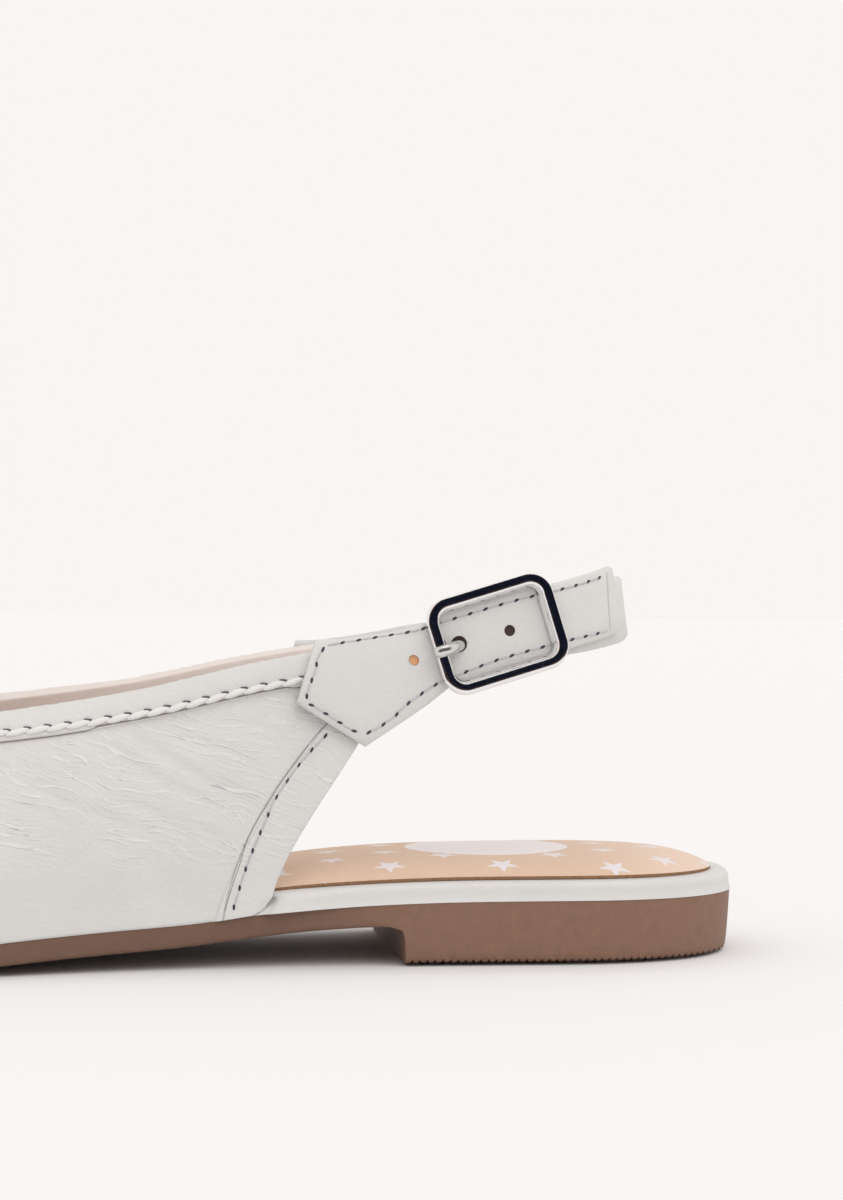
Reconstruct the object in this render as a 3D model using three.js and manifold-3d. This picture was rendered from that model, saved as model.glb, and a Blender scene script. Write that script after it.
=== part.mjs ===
// Slingback ballet flat, left shoe, in millimetres.
// +Z is up, the toe points to -X and the outer side, with the buckle, faces -Y.
// The origin lies on the floor under the heel. A "station" is a distance forward from the back of the heel.

import * as THREE from "three";
import { mergeVertices } from "three/addons/utils/BufferGeometryUtils.js";
import Module from "manifold-3d";

const wasm = await Module();
wasm.setup();

// Last and sole sizes
const soleLength = 250;
const ballWidth = 78;
const waistWidth = 50;
const heelWidth = 57.8;
const heelBack = 30; // from the origin to the back of the heel
const heelRound = 35.5; // length over which the back of the heel is rounded
const toeRound = 80; // length over which the toe is rounded
const toeSwing = 5.5; // how far the toe's tip lies to the inner side
const heelLength = 66;
const heelHeight = 7.3; // floor to the sole's underside at the heel
const heelFlare = 0.5; // how much narrower the heel is at the floor
const breastLean = 0.4; // how far the heel's front face leans
const toeSpring = 8.4;
const soleThickness = 4.6;
const soleEasing = 0.7; // eased edge of the sole
const toeEase = 1.2; // further inset of the board and sock at the toe, where the wall leans in
const boardThickness = 3.3;
const sockEdge = 1;
const sockDome = 2.6; // rise of the heel pad above the sock's edge
const sockCrown = 1.3; // rise of the sock in the forefoot
const sockMargin = 3.7; // from the sole's outline to the sock's edge
const rimRamp = 0.6; // length over which the board steps in behind the wall

// Upper sizes
const wall = 1.8;
const quarterHeight = 58.4; // floor to the topline at the back strip
const quarterFoot = 91.3; // station of the quarter's back edge at the sole
const quarterRake = 19.8; // how far that edge leans back at the topline
const backStripWidth = 8.9; // along the sole
const throatStation = 172; // where the throat starts to round
const throatLength = 22;
const bindingWidth = 6.6;
const bindingRaise = 0.7;
const stripRaise = 0.6;
const wallSwell = 2.4; // how far the last swells beyond the sole's edge
const wallInset = 0.4; // from the sole's outline to the foot of the wall

// Strap and buckle sizes
const strapWidth = 12.2;
const slingWidth = 11.6;
const strapThickness = 1.8;
const tabLength = 25.9;
const tabDepth = 16.6; // from the strap's middle to the tab's lower corner
const rootStation = 60.7; // where the tabs narrow to the straps
const loopBack = 21.1; // station of the loop's back, inside of the strap's middle
const loopStart = 43; // station where the loop leaves the straight sides
const loopWidth = 47.4; // across the loop at its sides, middle to middle
const strapSplay = 3.3; // degrees between a strap's side and the shoe's axis
const sideLean = 3; // degrees the straps lean in at the sides
const backLean = 7; // degrees they lean in round the heel
const tabEnd = 68.5; // station where the tab leaves the quarter
const freeFrom = 62.5; // station from where the strap runs free
const foldLength = 14; // of the sling strap's end, folded round the bar
const slotEase = 0.5; // between the prong and each side of the slot in the fold
const buckleStation = 49.8;
const buckleHeight = 60; // floor to the middle of the buckle
const buckleTilt = 17; // degrees
const buckleLength = 23.5;
const buckleWidth = 18;
const frameWidth = 2.4;
const frameThickness = 2.2;
const frameCorner = 4.4;
const barRadius = 0.9;
const prongWidth = 1.85;
const prongThickness = 1.2;
const holeRadius = 1.05;
const prongHoleRadius = 1.75;
const holePitch = 8.9;
const prongHoleRun = 6.6; // the prong's hole forward of the bar
const holeDrift = 0.045; // rise of the holes above the strap's middle, per length forward of the bar
const tipLength = 25; // from the buckle's bar to the strap's tip
const strapStep = 2.6; // between the cross lines of a strap
const gap = 0.3; // left between pieces that meet

const OUTER = -1;
const INNER = 1;
const ROUND_POWER = 2.2; // fullness of the rounded toe, heel and throat

// Outline of the sole: half widths on each side of the centre line, as shares of a named width
const OUTLINE = [
  { at: 0, of: heelWidth, outer: 0.503, inner: 0.503 },
  { at: 0.15, of: heelWidth, outer: 0.503, inner: 0.5 },
  { at: 0.264, of: heelWidth, outer: 0.497, inner: 0.468 },
  { at: 0.38, of: waistWidth, outer: 0.573, inner: 0.455 },
  { at: 0.48, of: waistWidth, outer: 0.64, inner: 0.485 },
  { at: 0.6, of: ballWidth, outer: 0.49, inner: 0.415 },
  { at: 0.68, of: ballWidth, outer: 0.508, inner: 0.478 },
  { at: 0.74, of: ballWidth, outer: 0.5, inner: 0.497 },
  { at: 0.82, of: ballWidth, outer: 0.482, inner: 0.482 },
  { at: 0.92, of: ballWidth, outer: 0.435, inner: 0.44 },
  { at: 1, of: ballWidth, outer: 0.38, inner: 0.39 },
].map((row) => ({ at: row.at, outer: row.of * row.outer, inner: row.of * row.inner }));

// Underside of the sole: the arch as a share of the heel's height, the toe as a share of its spring
const TREAD = [
  { at: 0, arch: 1, toe: 0 },
  { at: 0.2, arch: 1, toe: 0 },
  { at: 0.27, arch: 0.95, toe: 0 },
  { at: 0.356, arch: 0.77, toe: 0 },
  { at: 0.412, arch: 0.51, toe: 0 },
  { at: 0.484, arch: 0.35, toe: 0 },
  { at: 0.552, arch: 0.18, toe: 0 },
  { at: 0.608, arch: 0, toe: 0 },
  { at: 0.74, arch: 0, toe: 0 },
  { at: 0.82, arch: 0, toe: 0.15 },
  { at: 0.9, arch: 0, toe: 0.47 },
  { at: 1, arch: 0, toe: 1 },
];

// Sections of the upper from the back edge to the toe. foot: share of the way from the back edge to the
// throat; rake: of quarterRake; top: topline height, of quarterHeight; outer, inner: half width of the
// topline, of ballWidth; lift: how much higher the inner side is, of quarterHeight; swell: of wallSwell;
// rise and pull: length of the curve's two handles, of the section's height and chord; slope: degrees of
// the wall at the topline; turn: degrees round the toe.
const SECTIONS = [
  { foot: 0, rake: 1.177, low: 0.142, high: 1, top: 0.985, outer: 0.322, inner: 0.312,
    lift: 0, swell: 0.25, rise: 0.34, pull: 0.3, slope: 84, turn: 90 },
  { foot: 0.11, rake: 1.263, low: 0.12, high: 0.95, top: 0.99, outer: 0.326, inner: 0.314,
    lift: 0, swell: 0.35, rise: 0.34, pull: 0.3, slope: 83, turn: 90 },
  { foot: 0.255, rake: 0.9, low: 0.13, high: 0.9, top: 0.935, outer: 0.336, inner: 0.32,
    lift: 0.003, swell: 0.6, rise: 0.34, pull: 0.31, slope: 79, turn: 90 },
  { foot: 0.415, rake: 0.65, low: 0.14, high: 0.9, top: 0.863, outer: 0.352, inner: 0.334,
    lift: 0.01, swell: 0.85, rise: 0.34, pull: 0.32, slope: 72, turn: 90 },
  { foot: 0.6, rake: 0.38, low: 0.15, high: 0.9, top: 0.803, outer: 0.363, inner: 0.35,
    lift: 0.022, swell: 1, rise: 0.34, pull: 0.34, slope: 63, turn: 90 },
  { foot: 0.8, rake: 0.13, low: 0.2, high: 0.9, top: 0.757, outer: 0.357, inner: 0.352,
    lift: 0.028, swell: 1, rise: 0.35, pull: 0.38, slope: 53, turn: 90 },
  { foot: 1, rake: 0, low: 0.2, high: 0.9, top: 0.72, outer: 0.325, inner: 0.325,
    lift: 0.022, swell: 1, rise: 0.37, pull: 0.42, slope: 44, turn: 90 },
  { foot: 1, rake: 0, low: 0.2, high: 0.9, top: 0.69, outer: 0.325, inner: 0.325,
    lift: 0.012, swell: 1.05, rise: 0.43, pull: 0.43, slope: 36, turn: 60 },
  { foot: 1, rake: 0, low: 0.2, high: 0.9, top: 0.668, outer: 0.325, inner: 0.325,
    lift: 0.004, swell: 1.15, rise: 0.52, pull: 0.43, slope: 27, turn: 30 },
  { foot: 1, rake: 0, low: 0.2, high: 0.9, top: 0.66, outer: 0.325, inner: 0.325,
    lift: 0, swell: 1.2, rise: 0.56, pull: 0.43, slope: 23, turn: 0 },
];
const STRIP_ROW = 1; // the section at the back strip's raised front edge
const THROAT_ROW = 6;
const TOE_ROW = SECTIONS.length - 1;

// Smooth curve through the rows of a table: column y as a function of column x
function curve(rows, x, y) {
  const slopes = rows.map((row, i) => {
    const a = rows[Math.max(i - 1, 0)];
    const b = rows[Math.min(i + 1, rows.length - 1)];
    return (b[y] - a[y]) / (b[x] - a[x]);
  });
  return (value) => {
    let i = 0;
    while (i < rows.length - 2 && value > rows[i + 1][x]) i += 1;
    const span = rows[i + 1][x] - rows[i][x];
    const t = (value - rows[i][x]) / span;
    if (t < 0) return rows[i][y] + slopes[i] * (value - rows[i][x]);
    if (t > 1) return rows[i + 1][y] + slopes[i + 1] * (value - rows[i + 1][x]);
    const c = 1 - t;
    return (
      rows[i][y] * (1 + 2 * t) * c * c +
      slopes[i] * span * t * c * c +
      rows[i + 1][y] * (3 - 2 * t) * t * t -
      slopes[i + 1] * span * t * t * c
    );
  };
}

const lerp = THREE.MathUtils.lerp;
const smooth = THREE.MathUtils.smoothstep;
const radians = THREE.MathUtils.degToRad;
const stationOf = (x) => heelBack - x;

// Sole outline and heights
const outerHalf = curve(OUTLINE, "at", "outer");
const innerHalf = curve(OUTLINE, "at", "inner");
const archShare = curve(TREAD, "at", "arch");
const toeShare = curve(TREAD, "at", "toe");

function roundEnd(distance, length) {
  const t = Math.min(Math.max(1 - distance / length, 0), 1);
  return Math.pow(1 - Math.pow(t, ROUND_POWER), 1 / ROUND_POWER);
}

function centreLine(station) {
  const forward = Math.max(station / soleLength - 0.6, 0) / 0.4;
  return toeSwing * Math.pow(forward, 1.5);
}

function outlineY(station, side) {
  const half = side === OUTER ? outerHalf(station / soleLength) : innerHalf(station / soleLength);
  const ends = roundEnd(station, heelRound) * roundEnd(soleLength - station, toeRound);
  return centreLine(station) + side * half * ends;
}

function treadZ(station) {
  const at = THREE.MathUtils.clamp(station / soleLength, 0, 1);
  return Math.max(0, heelHeight * archShare(at) + toeSpring * toeShare(at));
}

const soleTopZ = (station) => treadZ(station) + soleThickness;
const boardTopZ = (station) => soleTopZ(station) + gap + boardThickness;

// Stations close together at both ends, where the outline turns fastest
function spreadStations(count) {
  const share = (i) => (1 - Math.cos((Math.PI * i) / count)) / 2;
  return Array.from({ length: count + 1 }, (_, i) => soleLength * share(i));
}

// Closed ring round the outline, set in by a distance that may change with the station. It starts at the
// back of the heel, runs up the outer side to the toe and comes back along the inner side.
function outlineRing(stations, inset, height) {
  const last = stations.length - 1;
  const flat = [];
  stations.forEach((station) => flat.push([heelBack - station, outlineY(station, OUTER)]));
  for (let i = last - 1; i > 0; i -= 1) flat.push([heelBack - stations[i], outlineY(stations[i], INNER)]);
  return flat.map(([x, y], i) => {
    const a = flat[(i + flat.length - 1) % flat.length];
    const b = flat[(i + 1) % flat.length];
    const along = new THREE.Vector2(b[0] - a[0], b[1] - a[1]).normalize();
    const depth = inset(stationOf(x));
    const setIn = x + along.y * depth;
    return new THREE.Vector3(setIn, y - along.x * depth, height(stationOf(setIn)));
  });
}

// Triangles that close a ring like a ladder between its two sides. A wall's ring pairs its first point
// with its last, and a ring round an outline has a tip at its first and its middle point.
function wallLadder(size) {
  const faces = [];
  let [low, high] = [0, size - 1];
  while (high - low > 2) {
    faces.push([low, high, low + 1], [low + 1, high, high - 1]);
    low += 1;
    high -= 1;
  }
  if (high - low === 2) faces.push([low, high, low + 1]);
  return faces;
}

function outlineLadder(size) {
  const half = size / 2;
  const faces = [[0, size - 1, 1]];
  for (let i = 1; i < half - 1; i += 1) {
    faces.push([i, size - i, size - i - 1], [i, size - i - 1, i + 1]);
  }
  faces.push([half - 1, half + 1, half]);
  return faces;
}

// Closed solid through rings of equal length
function loft(rings, ladder = wallLadder) {
  const size = rings[0].length;
  const end = (rings.length - 1) * size;
  const index = [];
  for (let r = 0; r < rings.length - 1; r += 1) {
    for (let i = 0; i < size; i += 1) {
      const j = (i + 1) % size;
      const [a, b, c, d] = [r * size + i, r * size + j, (r + 1) * size + j, (r + 1) * size + i];
      index.push(a, b, c, a, c, d);
    }
  }
  ladder(size).forEach(([a, b, c]) => index.push(a, b, c, end + a, end + c, end + b));
  return closedGeometry(rings.flat(), index);
}

const plate = (rings) => loft(rings, outlineLadder);

// Geometry from points and triangles, turned so that its faces point out
function closedGeometry(points, index) {
  let volume = 0;
  for (let i = 0; i < index.length; i += 3) {
    const [a, b, c] = [points[index[i]], points[index[i + 1]], points[index[i + 2]]];
    volume += a.dot(new THREE.Vector3().crossVectors(b, c));
  }
  const faces = volume < 0 ? [...index].reverse() : index;
  const geometry = new THREE.BufferGeometry();
  geometry.setAttribute("position", new THREE.Float32BufferAttribute(points.flatMap((p) => p.toArray()), 3));
  geometry.setIndex(faces);
  return geometry;
}

// Solids for cutting and joining
function solidOf(geometry) {
  const bare = geometry.clone();
  bare.deleteAttribute("normal");
  bare.deleteAttribute("uv");
  const merged = mergeVertices(bare, 1e-4);
  const corners = Array.from(merged.index.array);
  const triVerts = [];
  for (let i = 0; i < corners.length; i += 3) {
    const [a, b, c] = corners.slice(i, i + 3);
    if (a !== b && b !== c && c !== a) triVerts.push(a, b, c);
  }
  return new wasm.Manifold(
    new wasm.Mesh({
      numProp: 3,
      vertProperties: Float32Array.from(merged.attributes.position.array),
      triVerts: Uint32Array.from(triVerts),
    }),
  );
}

function geometryOf(solid) {
  const mesh = solid.getMesh();
  const geometry = new THREE.BufferGeometry();
  geometry.setAttribute("position", new THREE.BufferAttribute(Float32Array.from(mesh.vertProperties), 3));
  geometry.setIndex(new THREE.BufferAttribute(Uint32Array.from(mesh.triVerts), 1));
  return geometry;
}

// Outsole: forepart and low heel in one, with eased edges
const SOLE_STATIONS = 40;

function outsole() {
  const stations = spreadStations(SOLE_STATIONS).filter((s) => Math.abs(s - heelLength) > 3);
  stations.push(heelLength, heelLength + breastLean);
  stations.sort((a, b) => a - b);
  const middle = heelLength + breastLean / 2;
  const bottom = (station) => (station < middle ? 0 : treadZ(station));
  const flare = (station) => (station < middle ? heelFlare : 0);
  const rings = [
    outlineRing(stations, (s) => soleEasing + flare(s), bottom),
    outlineRing(stations, (s) => soleEasing / 7 + flare(s), (s) => bottom(s) + soleEasing),
    outlineRing(stations, () => 0, (s) => soleTopZ(s) - soleEasing),
    outlineRing(stations, () => soleEasing / 2, soleTopZ),
  ];
  return plate(rings);
}

// Insole board: its leather-covered rim is flush with the sole behind the quarters and lies inside the
// upper's wall in front of them
const innerInset = wallInset + wall + gap;

const toeInset = (station) => toeEase * smooth(station, 0.85 * soleLength, 0.95 * soleLength);

function insoleBoard() {
  const plain = spreadStations(SOLE_STATIONS).filter((s) => Math.abs(s - quarterFoot) > 5);
  const level = (rim, share) => {
    const rimEnd = quarterFoot - 1 - 2.2 * share;
    const behindWall = (station) => innerInset + toeInset(station);
    const inset = (station) => lerp(rim, behindWall(station), smooth(station, rimEnd, rimEnd + rimRamp));
    const stations = [...plain, rimEnd, rimEnd + rimRamp].sort((a, b) => a - b);
    return outlineRing(stations, inset, (s) => soleTopZ(s) + gap + boardThickness * share);
  };
  return plate([level(0.7, 0), level(0.2, 0.2), level(0.15, 0.5), level(0.35, 0.8), level(1.3, 1)]);
}

// Sock lining: thin at its edge, domed under the heel and lightly crowned in front
const DOME = [
  { inset: 0, rise: 0 },
  { inset: 0.6, rise: 0.1 },
  { inset: 3, rise: 0.42 },
  { inset: 7, rise: 0.78 },
  { inset: 12, rise: 1 },
];

function sockLining() {
  const stations = spreadStations(SOLE_STATIONS);
  const dome = (station) => lerp(sockDome, sockCrown, smooth(station, 0.28 * soleLength, 0.44 * soleLength));
  const base = (station) => boardTopZ(station) + gap;
  const edge = (station) => sockMargin + toeInset(station);
  const rings = [outlineRing(stations, edge, base)];
  DOME.forEach(({ inset, rise }) => {
    const height = (station) => base(station) + sockEdge + rise * dome(station);
    rings.push(outlineRing(stations, (station) => edge(station) + inset, height));
  });
  return plate(rings);
}

// Upper: the four control points of the section curve at a row, which may lie between two rows
const columnOf = (name) => curve(SECTIONS.map((row, i) => ({ i, v: row[name] })), "i", "v");
const column = Object.fromEntries(Object.keys(SECTIONS[0]).map((name) => [name, columnOf(name)]));
// The back strip's front edge follows its own named width
const stripFoot = backStripWidth / (throatStation - quarterFoot);
const footRows = SECTIONS.map((section, i) => ({ i, v: i === STRIP_ROW ? stripFoot : section.foot }));
const rowFoot = curve(footRows.slice(0, THROAT_ROW + 1), "i", "v");
const pivot = { station: throatStation, y: centreLine(throatStation) };
const toeAngle = Math.atan2(centreLine(soleLength) - pivot.y, soleLength - throatStation);

function wallFoot(station, side) {
  const step = 0.5;
  const dy = outlineY(station + step, side) - outlineY(station - step, side);
  const ease = wallInset / Math.hypot(1, dy / (2 * step));
  return new THREE.Vector3(heelBack - station, outlineY(station, side) - side * ease, 0);
}

// Foot of the wall where a ray from the throat's pivot meets the outline round the toe
function toeFoot(turn, side) {
  const aim = side * toeAngle + (radians(turn) * (Math.PI / 2 - side * toeAngle)) / (Math.PI / 2);
  let near = throatStation;
  let far = soleLength;
  for (let i = 0; i < 50; i += 1) {
    const station = (near + far) / 2;
    const y = outlineY(station, side) - pivot.y;
    if (Math.atan2(side * y, station - pivot.station) > aim) near = station;
    else far = station;
  }
  const reach = Math.hypot(near - pivot.station, outlineY(near, side) - pivot.y) - wallInset;
  const direction = new THREE.Vector3(-Math.cos(aim), side * Math.sin(aim), 0);
  const foot = new THREE.Vector3(heelBack - pivot.station, pivot.y, 0).addScaledVector(direction, reach);
  return { foot, direction, aim };
}

function sectionAt(row, side) {
  const half = ballWidth * (side === OUTER ? column.outer(row) : column.inner(row));
  const topZ = quarterHeight * (column.top(row) + (side === INNER ? column.lift(row) : 0));
  let foot;
  let outward;
  let top;
  let rake = 0;
  if (row <= THROAT_ROW) {
    const station = lerp(quarterFoot, throatStation, rowFoot(row));
    foot = wallFoot(station, side);
    outward = new THREE.Vector3(0, side, 0);
    rake = quarterRake * column.rake(row);
    top = new THREE.Vector3(foot.x + rake, centreLine(station) + side * half, topZ);
  } else {
    const ray = toeFoot(column.turn(row), side);
    foot = ray.foot;
    outward = ray.direction;
    const forward = Math.cos(ray.aim) / throatLength;
    const sideways = Math.sin(ray.aim) / half;
    const squared = Math.abs(forward) ** ROUND_POWER + Math.abs(sideways) ** ROUND_POWER;
    const reach = 1 / Math.pow(squared, 1 / ROUND_POWER);
    top = new THREE.Vector3(heelBack - pivot.station, pivot.y, topZ).addScaledVector(outward, reach);
  }
  foot.z = soleTopZ(stationOf(foot.x)) + gap;
  const height = topZ - foot.z;
  const chord = Math.hypot(height, (top.x - foot.x) * outward.x + (top.y - foot.y) * outward.y);
  const slope = radians(column.slope(row));
  const pull = chord * column.pull(row);
  const lower = foot.clone().addScaledVector(outward, wallSwell * column.swell(row));
  lower.z += height * column.rise(row);
  lower.x += rake * column.low(row);
  const upper = top.clone().addScaledVector(outward, pull * Math.cos(slope));
  upper.z -= pull * Math.sin(slope);
  upper.x += rake * (column.high(row) - 1);
  return [foot, lower, upper, top];
}

const knownSections = new Map();

function sectionCurve(row, side) {
  const key = side * (row + 1);
  if (!knownSections.has(key)) knownSections.set(key, sectionAt(row, side));
  return knownSections.get(key);
}

function bezier([a, b, c, d], t) {
  const s = 1 - t;
  return new THREE.Vector3()
    .addScaledVector(a, s * s * s)
    .addScaledVector(b, 3 * s * s * t)
    .addScaledVector(c, 3 * s * t * t)
    .addScaledVector(d, t * t * t);
}

const upperPoint = (row, side, t) => bezier(sectionCurve(row, side), t);

function upperNormal(row, side, t) {
  const step = 0.02;
  const [r0, r1] = row > TOE_ROW - 0.1 ? [row - step, row] : [row, row + step];
  const [t0, t1] = t > 0.9 ? [t - step, t] : [t, t + step];
  const along = upperPoint(r1, side, t).sub(upperPoint(r0, side, t));
  const up = upperPoint(row, side, t1).sub(upperPoint(row, side, t0));
  const normal = along.cross(up).normalize();
  return normal.multiplyScalar(side === OUTER ? -1 : 1);
}

// Share of the section's curve that ends a given distance below the topline
function shareBelowTop(row, side, distance) {
  const control = sectionCurve(row, side);
  const steps = 60;
  let length = 0;
  let here = bezier(control, 1);
  for (let i = steps - 1; i >= 0; i -= 1) {
    const next = bezier(control, i / steps);
    const piece = here.distanceTo(next);
    if (length + piece >= distance) return (i + 1 - (distance - length) / piece) / steps;
    length += piece;
    here = next;
  }
  return 0;
}

// Closed ring across the wall: up its outside, over the bound topline and down its inside
const WALL_ROWS = [0, 0.12, 0.25, 0.4, 0.55, 0.7, 0.86, 1];

function wallRing(row, side, raise) {
  const at = (share, offset) => {
    const point = upperPoint(row, side, share);
    return point.addScaledVector(upperNormal(row, side, share), offset);
  };
  const edge = shareBelowTop(row, side, bindingWidth);
  const stepWidth = 0.4;
  const binding = [bindingWidth - stepWidth, bindingWidth * 0.5, 0.6].map((d) => shareBelowTop(row, side, d));
  const outside = WALL_ROWS.map((share) => at(share * edge, raise));
  const bound = Math.max(bindingRaise, raise);
  outside.push(at(binding[0], bound), at(binding[1], bound + 0.1), at(binding[2], bound - 0.1));
  outside.push(at(1, (bound - wall) / 2 + 0.2));
  const inside = [...WALL_ROWS].map((share) => at(share * edge, -wall));
  inside.push(at(binding[1], -wall), at(binding[2], -wall));
  const footZ = (point) => soleTopZ(stationOf(point.x)) + gap;
  outside[0].z = footZ(outside[0]);
  inside[0].z = footZ(inside[0]);
  return [...outside, ...inside.reverse()];
}

// Rows of the upper that carry a ring, with a close pair where the back strip's edge steps down
function upperRows() {
  const rows = [];
  const side = [0, 0.33, 0.67, 1];
  side.forEach((row) => rows.push({ row, raise: stripRaise }));
  rows.push({ row: 1.035, raise: 0 });
  const perSection = 3;
  for (let i = 1; i < THROAT_ROW; i += 1) {
    for (let k = 1; k <= perSection; k += 1) rows.push({ row: i + k / perSection, raise: 0 });
  }
  const perTurn = 4;
  for (let i = THROAT_ROW; i < TOE_ROW; i += 1) {
    for (let k = 1; k <= perTurn; k += 1) rows.push({ row: i + k / perTurn, raise: 0 });
  }
  return rows;
}

function upper() {
  const rows = upperRows();
  const outerRings = rows.map(({ row, raise }) => wallRing(row, OUTER, raise));
  const innerRings = rows.slice(0, -1).map(({ row, raise }) => wallRing(row, INNER, raise));
  return loft([...outerRings, ...innerRings.reverse()]);
}

// Strap path in plan: two straight sides and a rounded back. A position on it is the distance from the
// buckle's bar, growing towards the heel and round it to the inner side.
const splay = radians(strapSplay);
const loopDepth = loopStart - loopBack;
const loopHalf = loopWidth / 2;
const firstAngle = Math.atan((Math.tan(splay) * loopDepth) / loopHalf);
const LOOP_STEPS = 24;
const loopPoints = Array.from({ length: LOOP_STEPS + 1 }, (_, i) => {
  const angle = lerp(firstAngle, Math.PI - firstAngle, i / LOOP_STEPS);
  return {
    x: heelBack - loopStart + loopDepth * Math.sin(angle),
    y: -loopHalf * Math.cos(angle),
  };
});
const loopRuns = [0];
for (let i = 1; i <= LOOP_STEPS; i += 1) {
  const piece = Math.hypot(loopPoints[i].x - loopPoints[i - 1].x, loopPoints[i].y - loopPoints[i - 1].y);
  loopRuns.push(loopRuns[i - 1] + piece);
}
const loopRun = loopRuns[LOOP_STEPS];
const barToLoop = (loopPoints[0].x - (heelBack - buckleStation)) / Math.cos(splay);

function pathAt(run) {
  const along = run - barToLoop;
  if (along <= 0) {
    const tangent = new THREE.Vector3(Math.cos(splay), Math.sin(splay), 0);
    const start = new THREE.Vector3(loopPoints[0].x, loopPoints[0].y, 0);
    return { point: start.addScaledVector(tangent, along), tangent };
  }
  if (along >= loopRun) {
    const tangent = new THREE.Vector3(-Math.cos(splay), Math.sin(splay), 0);
    const end = new THREE.Vector3(loopPoints[LOOP_STEPS].x, loopPoints[LOOP_STEPS].y, 0);
    return { point: end.addScaledVector(tangent, along - loopRun), tangent };
  }
  let i = 0;
  while (i < LOOP_STEPS - 1 && along > loopRuns[i + 1]) i += 1;
  const share = (along - loopRuns[i]) / (loopRuns[i + 1] - loopRuns[i]);
  const angle = lerp(firstAngle, Math.PI - firstAngle, (i + share) / LOOP_STEPS);
  const point = new THREE.Vector3(
    heelBack - loopStart + loopDepth * Math.sin(angle),
    -loopHalf * Math.cos(angle),
    0,
  );
  const tangent = new THREE.Vector3(loopDepth * Math.cos(angle), loopHalf * Math.sin(angle), 0).normalize();
  return { point, tangent };
}

// Inward lean of the straps: slight at the sides, more round the heel

function strapPoint(run, z, depth) {
  const { point, tangent } = pathAt(run);
  const out = new THREE.Vector3(tangent.y, -tangent.x, 0);
  const round = Math.sin(Math.PI * THREE.MathUtils.clamp((run - barToLoop) / loopRun, 0, 1));
  const lean = radians(lerp(sideLean, backLean, round));
  point.addScaledVector(out, depth * Math.cos(lean) - (z - buckleHeight) * Math.tan(lean));
  point.z = z + depth * Math.sin(lean);
  return point;
}

// Point on the upper's outside at a given x and z, found on the upper's own surface
function quarterPoint(x, z, side, offset) {
  let row = 0.5;
  let share = 0.7;
  for (let i = 0; i < 12; i += 1) {
    const here = upperPoint(row, side, share);
    const byRow = upperPoint(row + 0.01, side, share).sub(here).multiplyScalar(100);
    const byShare = upperPoint(row, side, share + 0.01).sub(here).multiplyScalar(100);
    const det = byRow.x * byShare.z - byRow.z * byShare.x;
    const [dx, dz] = [x - here.x, z - here.z];
    row += (dx * byShare.z - dz * byShare.x) / det;
    share += (byRow.x * dz - byRow.z * dx) / det;
  }
  return upperPoint(row, side, share).addScaledVector(upperNormal(row, side, share), offset);
}

// Strap surface that lies on the quarter in front and runs free towards the heel
const seat = Math.max(bindingRaise, stripRaise) + 0.1 + gap + strapThickness / 2;

function seatedPoint(run, z, depth, layer, side) {
  const free = strapPoint(run, z, depth + layer);
  const station = stationOf(free.x);
  const weight = smooth(station, freeFrom, tabEnd);
  if (weight === 0) return free;
  const seated = quarterPoint(free.x, z, side, seat + depth);
  return free.lerp(seated, weight);
}

// Tab: cross lines from its front edge to the strap's root. Positions forward of the root are shares of
// tabLength, heights above the strap's middle there are shares of tabDepth.
const TAB = [
  { lowAt: 1, low: -0.54, topAt: 0.86, top: 0.14 },
  { lowAt: 0.52, low: -1, topAt: 0.68, top: 0.15 },
  { lowAt: 0.21, low: -0.69, topAt: 0.34, top: 0.23 },
  { lowAt: 0.066, low: -0.54, topAt: 0.205, top: 0.28 },
];
const TAB_STEPS = 3;

// Height of the straps' middle as a share of buckleHeight. The billet's runs are shares of tipLength from
// the bar, the sling strap's are shares of its way from the bar to its own tab.
const BILLET_LINE = [
  { run: -0.55, z: 0.918 },
  { run: -0.438, z: 0.937 },
  { run: 0, z: 1 },
  { run: 0.56, z: 1.065 },
  { run: 1, z: 1.11 },
];
const SLING_LINE = [
  { run: 0, z: 1 },
  { run: 0.15, z: 1.037 },
  { run: 0.29, z: 1.068 },
  { run: 0.445, z: 1.088 },
  { run: 0.62, z: 1.045 },
  { run: 0.82, z: 0.978 },
  { run: 0.95, z: 0.937 },
  { run: 1.05, z: 0.912 },
];
const rootRun = (buckleStation - rootStation) / Math.cos(splay);
const innerRoot = barToLoop + loopRun + (rootStation - loopStart) / Math.cos(splay);
const billetShare = curve(BILLET_LINE, "run", "z");
const slingShare = curve(SLING_LINE, "run", "z");
const billetZ = (run) => buckleHeight * billetShare(run / tipLength);
const slingZ = (run) => buckleHeight * slingShare(run / innerRoot);

// Cross line of a strap at a run, square to its middle line
function crossLine(middle, run, width) {
  const slope = Math.atan(middle(run + 0.5) - middle(run - 0.5));
  const [across, up] = [(Math.sin(slope) * width) / 2, (Math.cos(slope) * width) / 2];
  return { low: [run + across, middle(run) - up], top: [run - across, middle(run) + up] };
}

// Cross lines of a strap from its root back along its run, and of the tab in front of the root
function strapLines(middle, width, from, to) {
  const count = Math.round(Math.abs(to - from) / strapStep);
  return Array.from({ length: count + 1 }, (_, i) => crossLine(middle, lerp(from, to, i / count), width));
}

function tabLines(root, rootZ, forward) {
  const rows = TAB.map((row) => ({
    low: [root + forward * row.lowAt * tabLength, rootZ + row.low * tabDepth],
    top: [root + forward * row.topAt * tabLength, rootZ + row.top * tabDepth],
  }));
  const lines = [];
  rows.slice(0, -1).forEach((row, i) => {
    const next = rows[i + 1];
    for (let k = 0; k < TAB_STEPS; k += 1) {
      const mix = (a, b) => [lerp(a[0], b[0], k / TAB_STEPS), lerp(a[1], b[1], k / TAB_STEPS)];
      lines.push({ low: mix(row.low, next.low), top: mix(row.top, next.top) });
    }
  });
  return [...lines, rows[rows.length - 1]];
}

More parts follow.
